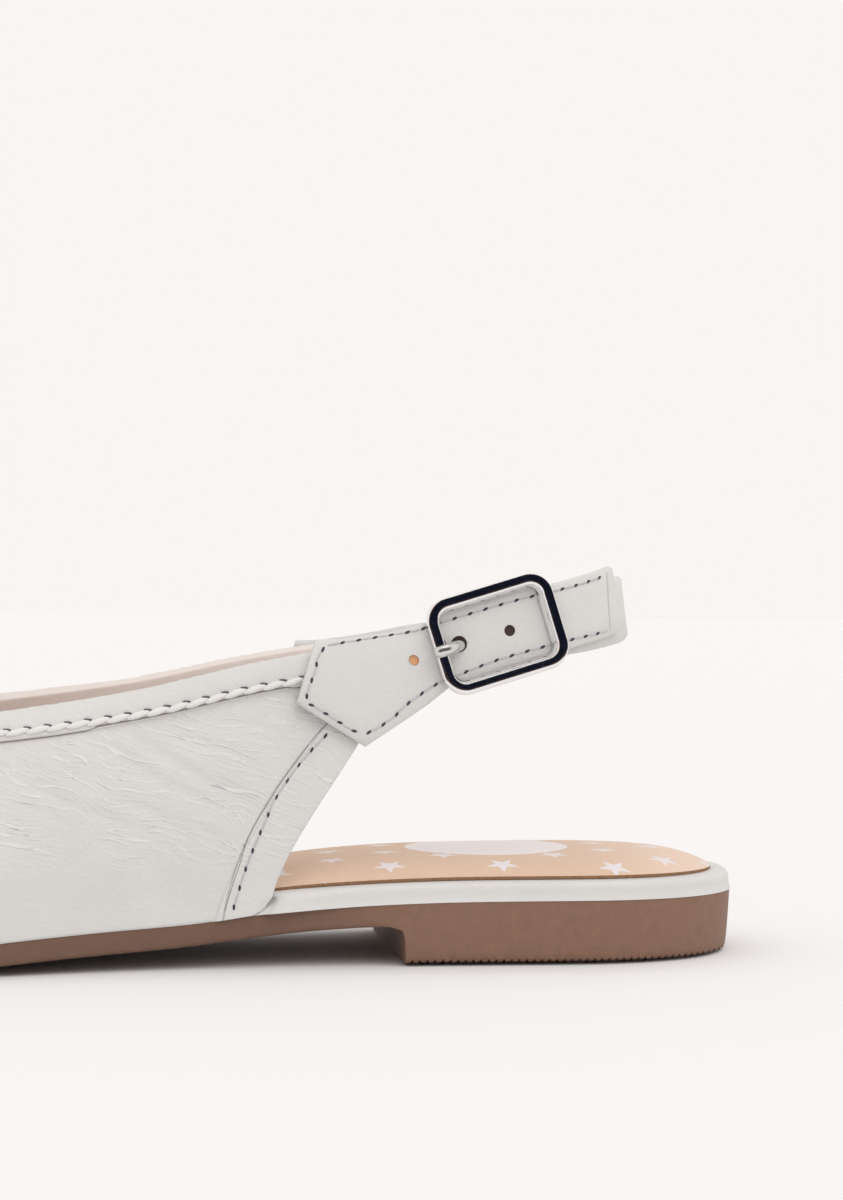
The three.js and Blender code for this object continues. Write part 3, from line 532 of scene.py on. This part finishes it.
# Topline: station and height in millimetres, and half widths on both sides
TOPLINE = [
    {"station": 77, "height": 57.6, "outer": 25.4, "inner": 24.5},
    {"station": 94.1, "height": 54.6, "outer": 26.2, "inner": 25.0},
    {"station": 111.9, "height": 50.4, "outer": 27.5, "inner": 26.5},
    {"station": 132.2, "height": 46.9, "outer": 28.3, "inner": 28.3},
    {"station": 153.3, "height": 44.2, "outer": 27.8, "inner": 28.4},
    {"station": 172, "height": 42.0, "outer": 25.4, "inner": 26.1},
]
THROAT_STATION = 172
THROAT_LENGTH = 22
THROAT_POWER = 2.2
THREAD_DROP = 5.05 * MM
BINDING_WIDTH = 6.5 * MM


def swing(station):
    """How far the shoe's middle line swings to the inner side, in millimetres."""
    return 5.5 * max(0, (station / 250 - 0.6) / 0.4) ** 1.5


def topline():
    """Places along the topline, from the outer quarter round the throat to the inner quarter."""

    def column(name):
        return [(row["station"], row[name]) for row in TOPLINE]

    def side_points(side, name):
        stations = [77 + k * (THROAT_STATION - 77) / 40 for k in range(40)]
        return [
            Vector((HEEL_BACK - s * MM, (side * eased(column(name), s) + swing(s)) * MM, eased(column("height"), s) * MM))
            for s in stations
        ]

    front = []
    for k in range(41):
        angle = math.radians(-90 + 180 * k / 40)
        half = TOPLINE[-1]["inner" if angle > 0 else "outer"]
        forward, sideways = math.cos(angle) / THROAT_LENGTH, abs(math.sin(angle)) / half
        reach = (forward**THROAT_POWER + sideways**THROAT_POWER) ** (-1 / THROAT_POWER)
        station = THROAT_STATION + reach * math.cos(angle)
        height = 38.6 + 3.4 * math.sin(angle) ** 2
        across = reach * math.sin(angle) + swing(station)
        front.append(Vector((HEEL_BACK - station * MM, across * MM, height * MM)))
    return side_points(OUTER, "outer") + front + side_points(INNER, "inner")[::-1]


THROAT_START = HEEL_BACK - 168 * MM


def inside_faces(piece):
    """Faces of the upper that look towards the middle of the shoe."""
    found = []
    for face in piece.data.polygons:
        outward = Vector((min(face.center.x - THROAT_START, 0), face.center.y, 0)).normalized()
        if face.normal.dot(outward) < -0.22:
            found.append(face)
    return found


# Main creases of the quarter in side view: stations and heights in millimetres, with depth and width
CREASES = [
    {"depth": 0.16, "width": 1.5, "line": [(102.3, 45.2), (98.5, 43.8), (92.9, 43.5), (87.6, 41.0), (86.2, 39.3)]},
    {"depth": 0.24, "width": 1.7, "line": [(108.3, 43.1), (104.8, 40.3), (100.6, 39.6), (96.4, 38.4), (90.4, 33.7)]},
    {"depth": 0.28, "width": 1.8, "line": [(116.7, 42.4), (112.5, 39.6), (103.4, 34.4), (100.6, 32.4), (94.3, 30.3)]},
    {"depth": 0.26, "width": 1.8, "line": [(123.8, 40.3), (117.4, 38.2), (110.4, 33.7), (103.4, 30.3), (96.4, 27.5)]},
    {"depth": 0.22, "width": 1.7, "line": [(123.4, 35.1), (116.7, 29.9), (112.5, 28.9), (106.2, 24.7), (103.4, 22.8)]},
    {"depth": 0.2, "width": 1.6, "line": [(138.5, 34.1), (131.5, 32.4), (124.5, 29.2), (117.4, 26.5), (110.4, 23.8)]},
    {"depth": 0.16, "width": 1.5, "line": [(108.7, 26.8), (105.2, 26.6), (102.3, 24.7), (98.8, 22.5)]},
    {"depth": 0.14, "width": 1.6, "line": [(138.5, 30.3), (131.5, 28.9), (128.0, 27.1), (124.5, 24.7)]},
]


def pad_binding(shell, edge):
    """The binding swells softly between the topline and its lower edge."""
    moves = {}
    for vertex in shell.data.vertices:
        away = edge.find(vertex.co)[2] / (6.2 * MM)
        outward = Vector((min(vertex.co.x - THROAT_START, 0), vertex.co.y, 0)).normalized()
        if away < 1 and vertex.normal.dot(outward) > 0.25:
            moves[vertex.index] = vertex.normal * 0.4 * MM * math.sin(math.pi * away)
    for index, move in moves.items():
        shell.data.vertices[index].co += move


def round_corners(shell):
    """The quarters' lower rear corners are rounded off."""
    for side in (OUTER, INNER):
        low = [v for v in shell.data.vertices if v.co.y * side > 0 and v.co.z < 18 * MM]
        corner = max(low, key=lambda v: v.co.x - 0.5 * v.co.z).co.copy()
        for vertex in low:
            away = math.hypot(vertex.co.x - corner.x, vertex.co.z - corner.z) / (3.2 * MM)
            if away < 1:
                share = (1 - away * away) ** 2
                vertex.co += Vector((-0.7, -0.35 * side, 0.5)) * MM * share


def press_creases(shell):
    """Each main crease is a soft trough with a low ridge along its upper side, fading at both ends."""
    moves = {}
    for vertex in shell.data.vertices:
        place = Vector(((HEEL_BACK - vertex.co.x) / MM, vertex.co.z / MM))
        outward = vertex.normal.y * (1 if vertex.co.y > 0 else -1)
        if not (84 < place.x < 141 and 20 < place.y < 46.5) or outward < 0.3:
            continue
        shift = 0.0
        for crease in CREASES:
            points = [Vector(row) for row in crease["line"]]
            nearest = None
            for i, (a, b) in enumerate(zip(points, points[1:])):
                share = min(max((place - a).dot(b - a) / (b - a).length_squared, 0), 1)
                away = place - a.lerp(b, share)
                if nearest is None or away.length < nearest[0]:
                    nearest = (away.length, away.y, (i + share) / (len(points) - 1))
            distance, above, run = nearest
            width = crease["width"]
            if distance > 3 * width:
                continue
            fade = math.sin(math.pi * min(max(run, 0), 1)) ** 0.6
            trough = math.exp(-((distance / (0.55 * width)) ** 2))
            across = distance if above > 0 else -distance
            ridge = math.exp(-(((across - 1.1 * width) / (0.7 * width)) ** 2))
            shift += crease["depth"] * fade * (0.55 * ridge - trough)
        if shift:
            moves[vertex.index] = vertex.normal * shift * MM
    for index, move in moves.items():
        shell.data.vertices[index].co += move


def upper():
    shell = copy_of_node("upper", "upper_leather")
    spread_edge(shell, -1, 0.7 * MM, 0.35 * MM)
    crease_sharp_edges(shell, 50, 0.7)
    subdivided(shell, 3)
    shell.data.materials.append(leather)
    shell.data.materials.append(lining)
    shell.data.materials.append(binding_leather)
    edge = KDTree(len(topline()))
    for i, place in enumerate(topline()):
        edge.insert(place, i)
    edge.balance()
    for face in shell.data.polygons:
        if edge.find(face.center)[2] < 6.3 * MM:
            face.material_index = 2
    pad_binding(shell, edge)
    round_corners(shell)
    for face in inside_faces(shell):
        face.material_index = 1
    press_creases(shell)
    finish_piece(shell, None, "white_leather", "upper")
    return shell


# Thread. A stitch is modelled once and copied along lines that lie on the leather.


def cast(surface, station, height, side):
    """The place and the normal where a level line from one side meets the surface."""
    start = Vector((HEEL_BACK - station * MM, side * 80 * MM, height * MM))
    place, normal, _, _ = surface.ray_cast(start, Vector((0, -side, 0)))
    return (place, normal) if place is not None else None


def line_on(surface, rows, side, per_row=10):
    """A smooth line of places on the surface through rows of (station, height) in millimetres."""
    knots = [Vector((station, height)) for station, height in rows]
    places = []
    for i in range(len(knots) - 1):
        a = knots[max(i - 1, 0)]
        b, c = knots[i], knots[i + 1]
        d = knots[min(i + 2, len(knots) - 1)]
        for k in range(per_row + (i == len(knots) - 2)):
            t = k / per_row
            flat = 0.5 * (2 * b + (c - a) * t + (2 * a - 5 * b + 4 * c - d) * t * t)
            flat += 0.5 * (3 * b - a - 3 * c + d) * t * t * t
            found = cast(surface, flat.x, flat.y, side)
            if found:
                places.append(found[0])
    return places


def pill(name, length, width, height):
    """A small rounded form, the model of one stitch or of one needle gap."""
    deselect_all()
    bpy.ops.mesh.primitive_uv_sphere_add(segments=8, ring_count=6, radius=0.5, rotation=(0, math.radians(90), 0))
    form = bpy.context.active_object
    form.name = name
    bpy.ops.object.transform_apply(location=False, rotation=True, scale=False)
    form.data.transform(Matrix.Diagonal((length, width, height, 1)))
    for face in form.data.polygons:
        face.use_smooth = True
    return form


def sewn(form, name, line, surface, pitch, material, start=0.0, lift=0.0, shift=0.0, turn=0.0):
    """Copies of one form along a line on the surface, joined to one piece."""
    copies = []
    for place, along in along_points(line, pitch, start):
        near, normal, _, _ = surface.find_nearest(place)
        across = normal.cross(along).normalized()
        along = across.cross(normal).normalized()
        axes = Matrix((along, across, normal)).transposed().to_4x4()
        spot = near + across * shift + normal * lift
        piece = form.copy()
        piece.data = form.data.copy()
        piece.data.transform(Matrix.Translation(spot) @ axes @ Matrix.Rotation(turn, 4, "Z"))
        bpy.context.scene.collection.objects.link(piece)
        copies.append(piece)
    select_only(*copies)
    bpy.ops.object.join()
    joined = bpy.context.active_object
    joined.name = name
    return finish_piece(joined, material, "white_leather")


def seam_shadow(name, line, surface, radius, material, sink=0.0):
    """A thin dark line at a piece's edge; at the binding and the back strips it is painted shadow in the gap."""
    data = bpy.data.curves.new(name, "CURVE")
    data.dimensions = "3D"
    spline = data.splines.new("POLY")
    spline.points.add(len(line) - 1)
    for point, place in zip(spline.points, line):
        near, normal, _, _ = surface.find_nearest(place)
        point.co = (*(near - normal * sink), 1)
    data.bevel_depth = radius
    data.bevel_resolution = 1
    data.use_fill_caps = True
    curve = bpy.data.objects.new(name, data)
    bpy.context.scene.collection.objects.link(curve)
    select_only(curve)
    bpy.ops.object.convert(target="MESH")
    return finish_piece(bpy.context.active_object, material, "white_leather")


def below_topline(surface, line, distance):
    """The line moved down the outside of the upper by a distance along the leather."""
    moved = []
    steps = 12
    for i, place in enumerate(line):
        along = (line[min(i + 1, len(line) - 1)] - line[max(i - 1, 0)]).normalized()
        outward = Vector((-along.y, along.x, 0)).normalized()
        if outward.dot(Vector((min(place.x - THROAT_START, 0), place.y, 0))) < 0:
            outward.negate()
        for start in (1.2 * MM, 2.6 * MM):
            here, normal, _, _ = surface.find_nearest(place + outward * start - Vector((0, 0, 0.8 * MM)))
            if normal.dot(outward) > 0:
                break
        for _ in range(steps):
            down = normal.cross(along).normalized()
            if down.dot(outward - Vector((0, 0, 1))) < 0:
                down.negate()
            here, normal, _, _ = surface.find_nearest(here + down * (distance - 1.2 * MM) / steps)
        moved.append(here)
    return moved


def binding_thread(shell):
    """The thick rope-like thread that holds the topline's binding."""
    surface = surface_of(shell)
    line = below_topline(surface, topline(), THREAD_DROP)
    rope = pill("rope", 4.5 * MM, 1.3 * MM, 1.0 * MM)
    sewn(rope, "binding_thread", line, surface, 3.55 * MM, white_thread, lift=0.12 * MM, turn=math.radians(9))
    bpy.data.objects.remove(rope)
    # Painted shade: dark pills in the needle holes between the rope's strands.
    gap = pill("gap", 1.5 * MM, 0.42 * MM, 0.4 * MM)
    sewn(
        gap,
        "binding_needle_gaps",
        line,
        surface,
        3.55 * MM,
        rope_gap_shade,
        start=1.75 * MM,
        lift=0.2 * MM,
        shift=-0.62 * MM,
        turn=math.radians(-12),
    )
    bpy.data.objects.remove(gap)
    edge = below_topline(surface, topline(), BINDING_WIDTH + 0.15 * MM)
    seam_shadow("binding_edge_shadow", edge, surface, 0.16 * MM, painted_seam_shadow, 0.03 * MM)


# Lines in side view, as stations and heights in millimetres
STRIP_EDGE = [(83.9, 40.0), (88.7, 33.5), (91.0, 29.9), (93.1, 26.5), (94.8, 23.2), (96.1, 19.1), (97.6, 14.6), (98.8, 10.6)]
STRIP_STITCHES = [(80.5, 42.0), (83.4, 39.1), (86.6, 35.1), (90.0, 30.0), (92.9, 23.6), (95.1, 18), (97.4, 10.5)]
BILLET_TOP = [(29.3, 70.7), (35.4, 68.9), (46.3, 66.2), (56.5, 63.2), (64.5, 60.7), (71.6, 59.4), (80.9, 57.9)]
TAB_FRONT = [(81.2, 57.6), (82.4, 55.8), (83.0, 53.2), (84.0, 50.6), (84.7, 48.0)]
TAB_LOW_FRONT = [(84.2, 47.5), (82.3, 46.4), (80.0, 45.0), (77.1, 43.2), (75.0, 42.1)]
TAB_LOW_BACK = [(73.8, 42.1), (71.5, 43.2), (68.7, 45.1), (66.5, 47.2), (63.4, 49.4), (60.8, 51.0), (56.0, 53.0)]
TAB_TOP = [(62.4, 59.2), (66.0, 58.6), (71.6, 57.7), (80.9, 56.6)]
TAB_BACK = [(62.2, 58.2), (62.1, 54.5), (62.3, 50.9)]
BILLET_LOW = [(56.0, 53.0), (50.2, 55.2), (43.4, 57.2), (35.8, 59.1), (31.5, 60.0), (28.6, 60.6)]
BILLET_END = [(28.0, 71.6), (27.7, 66.0), (27.4, 61.0)]


def row_of_stitches(name, surface, rows, side, pitch, start=0.6 * MM):
    """A thin thread that dips into small needle gaps, dark with painted shade."""
    line = line_on(surface, rows, side)
    stitch = pill("stitch", pitch * 0.86, 0.36 * MM, 0.36 * MM)
    gap = pill("gap", 1.15 * MM, 0.5 * MM, 0.4 * MM)
    sewn(stitch, name, line, surface, pitch, grey_thread, start=start + pitch / 2, lift=0.04 * MM)
    sewn(gap, name + "_gaps", line, surface, pitch, needle_gap_shade, start=start, lift=0.02 * MM, turn=math.radians(12))
    bpy.data.objects.remove(stitch)
    bpy.data.objects.remove(gap)


def strap_stitching(shell, billet, sling):
    """Stitching of the back strips, both tabs and the billet."""
    outer_shell = surface_of(shell)
    for side, word in ((OUTER, "outer"), (INNER, "inner")):
        row_of_stitches(f"{word}_strip_stitches", outer_shell, STRIP_STITCHES, side, 3.5 * MM)
        edge = line_on(outer_shell, STRIP_EDGE, side)
        seam_shadow(f"{word}_strip_edge_shadow", edge, outer_shell, 0.1 * MM, painted_seam_shadow, 0.06 * MM)
    strap = surface_of(billet)
    rows = {
        "billet_top_stitches": BILLET_TOP,
        "tab_front_stitches": TAB_FRONT,
        "tab_low_front_stitches": TAB_LOW_FRONT,
        "tab_low_back_stitches": TAB_LOW_BACK,
        "billet_low_stitches": BILLET_LOW,
    }
    for name, row in rows.items():
        row_of_stitches(name, strap, row, OUTER, 3.0 * MM)
    # A thin grey line along the billet's free end.
    seam_shadow("billet_end_edge", line_on(strap, BILLET_END, OUTER), strap, 0.26 * MM, billet_end_grey, 0.12 * MM)
    band = surface_of(sling)
    for name, row in (rows | {"tab_top_stitches": TAB_TOP, "tab_back_stitches": TAB_BACK}).items():
        if name.startswith("tab"):
            row_of_stitches("inner_" + name, band, row, INNER, 3.0 * MM)


# Straps and buckle. The buckle's own axes run along the strap to the heel, up across it and outwards.

BUCKLE = Matrix(
    (
        (0.9532, -0.2968, 0.0577, -19.626 * MM),
        (0.0705, 0.0325, -0.997, -27.208 * MM),
        (0.294, 0.9544, 0.0519, 60.179 * MM),
        (0, 0, 0, 1),
    )
)
PRONG_HOLE = {"at": -6.87, "up": 0.085, "radius": 1.745}
FITTED_HOLE = {"at": -7.35, "up": 0.25, "radius": 1.5}


def straps():
    """Both straps with soft edges, and the prong's hole drawn in round the prong."""
    billet = copy_of_node("billet_strap", "billet_strap_leather")
    sling = copy_of_node("sling_strap", "sling_strap_leather")
    to_buckle = BUCKLE.inverted()
    for vertex in billet.data.vertices:
        place = to_buckle @ vertex.co / MM
        away = Vector((place.x - PRONG_HOLE["at"], place.y - PRONG_HOLE["up"]))
        if away.length < PRONG_HOLE["radius"] + 0.2:
            away *= FITTED_HOLE["radius"] / PRONG_HOLE["radius"]
            place.x = FITTED_HOLE["at"] + away.x
            place.y = FITTED_HOLE["up"] + away.y
        elif abs(place.x) < 12 and abs(place.y) > 3:
            place.y += math.copysign(0.5 * min(1, (12 - abs(place.x)) / 2), place.y)
        vertex.co = BUCKLE @ (place * MM)
    for piece, node in ((billet, "billet_strap"), (sling, "sling_strap")):
        apply_modifier(piece, "BEVEL", width=0.3 * MM, segments=3, limit_method="ANGLE", angle_limit=math.radians(50))
        smooth(piece, 35)
        finish_piece(piece, strap_leather, "white_leather", node)
    return billet, sling


def hole_floor(name, at, up, radius, material):
    """What shows at the bottom of a strap's hole."""
    deselect_all()
    bpy.ops.mesh.primitive_cylinder_add(vertices=24, radius=radius, depth=0.4 * MM)
    disc = bpy.context.active_object
    disc.name = name
    disc.data.transform(BUCKLE @ Matrix.Translation((at * MM, up * MM, -0.9 * MM)))
    finish_piece(disc, material, "white_leather")
    disc.matrix_world = Matrix.Identity(4)
    return disc


# The frame's rail in section: outwards from the rail's middle, and forward from the frame's back
RAIL = [
    (1.375, 0.6), (1.375, 1.7), (1.36, 1.98), (1.31, 2.17), (1.22, 2.28), (1.12, 2.335), (1.02, 2.355), (0.6, 2.4),
    (0.2, 2.405), (-0.25, 2.385), (-0.48, 2.35), (-0.6, 2.28), (-0.7, 2.15), (-1.0, 1.65), (-1.25, 1.1), (-1.375, 0.6),
    (-1.3, 0.15), (-1.0, 0.0), (1.0, 0.0), (1.28, 0.2),
]
FRAME_LENGTH = 24.2
FRAME_WIDTH = 18
FRAME_CORNER = 4.4
RAIL_WIDTH = 2.75
FRAME_SHIFT = -0.34


def poly_curve(name, places, cyclic):
    data = bpy.data.curves.new(name, "CURVE")
    data.dimensions = "3D" if len(places[0]) == 3 else "2D"
    spline = data.splines.new("POLY")
    spline.points.add(len(places) - 1)
    for point, place in zip(spline.points, places):
        point.co = (place[0], place[1], place[2] if len(place) == 3 else 0, 1)
    spline.use_cyclic_u = cyclic
    curve = bpy.data.objects.new(name, data)
    bpy.context.scene.collection.objects.link(curve)
    return curve


def buckle():
    """The polished frame with its bar, and the prong that passes through the strap to rest on it."""
    half_length = (FRAME_LENGTH - RAIL_WIDTH) / 2
    half_width = (FRAME_WIDTH - RAIL_WIDTH) / 2
    corner = FRAME_CORNER - RAIL_WIDTH / 2
    places = []
    for quarter, (x, y) in enumerate(((1, 1), (-1, 1), (-1, -1), (1, -1))):
        for k in range(13):
            angle = math.radians(90 * quarter + 7.5 * k)
            across = (half_width - corner) * y + corner * math.sin(angle)
            places.append(((FRAME_SHIFT + (half_length - corner) * x + corner * math.cos(angle)) * MM, across * MM))
    path = poly_curve("polished_buckle", places, True)
    section = poly_curve("rail_section", [(-x * MM, y * MM) for x, y in RAIL], True)
    path.data.bevel_mode = "OBJECT"
    path.data.bevel_object = section
    select_only(path)
    bpy.ops.object.convert(target="MESH")
    ring = bpy.context.active_object
    bpy.data.objects.remove(section)
    parts = [ring]
    bars = [("bar", 0, -5.19, 7.8 * 2, True), ("upper_leg", 7.8, -1.9, 6.6, False), ("lower_leg", -7.8, -1.9, 6.6, False)]
    for name, across, out, length, lying in bars:
        turn = (math.radians(90), 0, 0) if lying else (0, 0, 0)
        deselect_all()
        bpy.ops.mesh.primitive_cylinder_add(vertices=24, radius=0.9 * MM, depth=length * MM, rotation=turn)
        bar = bpy.context.active_object
        bpy.ops.object.transform_apply(location=False, rotation=True, scale=False)
        bar.data.transform(Matrix.Translation((0, across * MM, out * MM)))
        parts.append(bar)
    select_only(*parts)
    bpy.ops.object.join()
    ring.data.transform(BUCKLE)
    bpy.ops.object.mode_set(mode="EDIT")
    bpy.ops.mesh.select_all(action="SELECT")
    bpy.ops.mesh.remove_doubles(threshold=0.001 * MM)
    bpy.ops.mesh.normals_make_consistent(inside=False)
    bpy.ops.object.mode_set(mode="OBJECT")
    smooth(ring, 50)
    finish_piece(ring, frame_metal, "chrome", "buckle_frame")
    prong()


# The prong's middle line: along the strap and outwards from the frame's back, with its radius
PRONG = [
    (-1.5, -4.9, 0.85), (-3.2, -4.2, 0.9), (-4.8, -3.2, 0.95), (-6.2, -2.0, 0.98), (-7.0, -1.0, 1.0), (-7.35, -0.1, 1.0),
    (-7.7, 0.85, 1.02), (-8.5, 1.9, 1.05), (-9.7, 2.8, 1.08), (-11.0, 3.4, 1.08), (-12.1, 3.45, 1.04), (-12.65, 3.38, 0.9),
    (-12.9, 3.35, 0.6),
]


def prong():
    data = bpy.data.curves.new("polished_prong", "CURVE")
    data.dimensions = "3D"
    data.resolution_u = 6
    spline = data.splines.new("BEZIER")
    spline.bezier_points.add(len(PRONG) - 1)
    for point, (along, out, radius) in zip(spline.bezier_points, PRONG):
        point.co = (along * MM, 0, out * MM)
        point.handle_left_type = point.handle_right_type = "AUTO"
        point.radius = radius
    data.bevel_depth = 1.0 * MM
    data.bevel_resolution = 5
    data.use_fill_caps = True
    curve = bpy.data.objects.new("polished_prong", data)
    bpy.context.scene.collection.objects.link(curve)
    select_only(curve)
    bpy.ops.object.convert(target="MESH")
    arm = bpy.context.active_object
    deselect_all()
    bpy.ops.mesh.primitive_torus_add(
        major_radius=1.7 * MM,
        minor_radius=0.6 * MM,
        major_segments=24,
        minor_segments=12,
        rotation=(math.radians(90), 0, 0),
    )
    eye = bpy.context.active_object
    bpy.ops.object.transform_apply(location=False, rotation=True, scale=False)
    eye.data.transform(Matrix.Translation((0, 0, -5.19 * MM)))
    select_only(arm, eye)
    bpy.ops.object.join()
    arm.data.transform(BUCKLE)
    smooth(arm, 50)
    finish_piece(arm, prong_metal, "chrome", "buckle_prong")


outsole()
rim()
sock()
shell = upper()
billet, sling = straps()
buckle()
binding_thread(shell)
strap_stitching(shell, billet, sling)
hole_floor("front_hole_floor", -15.77, 0.0, 1.12 * MM, hole_tan)
# Painted shade: the prong's hole and the rear hole get dark discs at their bottoms, where they lie in shadow.
hole_floor("prong_hole_floor", FITTED_HOLE["at"], FITTED_HOLE["up"], 1.6 * MM, hole_shade)
hole_floor("rear_hole_floor", 2.37, -0.135, 1.12 * MM, hole_shade)


# Floor, light and camera


def floor_and_backdrop():
    """A wide pale floor, as bright as the world behind it."""
    deselect_all()
    bpy.ops.mesh.primitive_plane_add(size=60, location=(0, 0, -0.05 * MM))
    floor = bpy.context.active_object
    floor.name = "floor"
    m = Nodes("floor_paper")
    m.set(Base_Color=(0.82, 0.82, 0.825, 1), Roughness=0.9, Specular_IOR_Level=0.1)
    floor.data.materials.append(m.material)


def lights():
    world = bpy.data.worlds.new("studio")
    bpy.context.scene.world = world
    world.use_nodes = True
    world.node_tree.nodes["Background"].inputs["Color"].default_value = (0.947, 0.913, 0.888, 1)
    world.node_tree.nodes["Background"].inputs["Strength"].default_value = 1.0
    sun = bpy.data.lights.new("soft_key", "SUN")
    sun.energy = 0.9
    sun.angle = math.radians(50)
    key = bpy.data.objects.new("soft_key", sun)
    key.rotation_euler = (math.radians(38), math.radians(14), 0)
    bpy.context.scene.collection.objects.link(key)


def dark_card():
    """A dark card with a brown border behind the camera, that only polished metal shows."""
    deselect_all()
    bpy.ops.mesh.primitive_plane_add(size=1, location=(0.75, -0.95, 0.95), rotation=(math.radians(90), 0, 0))
    card = bpy.context.active_object
    card.name = "dark_card"
    card.scale = (2.5, 2.6, 1)
    m = Nodes("dark_card")
    parts = m.add("ShaderNodeSeparateXYZ", {"Vector": m.place})
    across = m.math("ABSOLUTE", parts.outputs["X"])
    upward = m.math("ABSOLUTE", parts.outputs["Y"])
    border = m.step(m.math("MAXIMUM", across, upward), 0.32, 0.42)
    base = m.mix(border, (0.008, 0.01, 0.02, 1), (0.3, 0.15, 0.07, 1))
    m.set(Base_Color=base, Roughness=1.0, Specular_IOR_Level=0.0)
    card.data.materials.append(m.material)
    card.visible_camera = False
    card.visible_diffuse = False
    card.visible_shadow = False


def camera():
    """The photograph's view: the rear half of the shoe, almost level, from the outer side."""
    yaw, pitch, roll = (math.radians(a) for a in (7.72, 0.27, 0.45))
    forward = Vector((math.sin(yaw) * math.cos(pitch), math.cos(yaw) * math.cos(pitch), math.sin(pitch)))
    right = forward.cross(Vector((0, 0, 1))).normalized()
    up = right.cross(forward)
    turned_right = right * math.cos(roll) + up * math.sin(roll)
    turned_up = up * math.cos(roll) - right * math.sin(roll)
    data = bpy.data.cameras.new("camera")
    data.sensor_fit = "VERTICAL"
    data.sensor_height = 36
    data.lens = 2528 / 1200 * 36
    data.clip_start = 0.01
    view = bpy.data.objects.new("camera", data)
    axes = Matrix((turned_right, turned_up, -forward)).transposed()
    view.matrix_world = Matrix.Translation((-95 * MM, -480 * MM, 64 * MM)) @ axes.to_4x4()
    bpy.context.scene.collection.objects.link(view)
    bpy.context.scene.camera = view


floor_and_backdrop()
lights()
dark_card()
camera()
bpy.context.scene.view_settings.view_transform = "Standard"
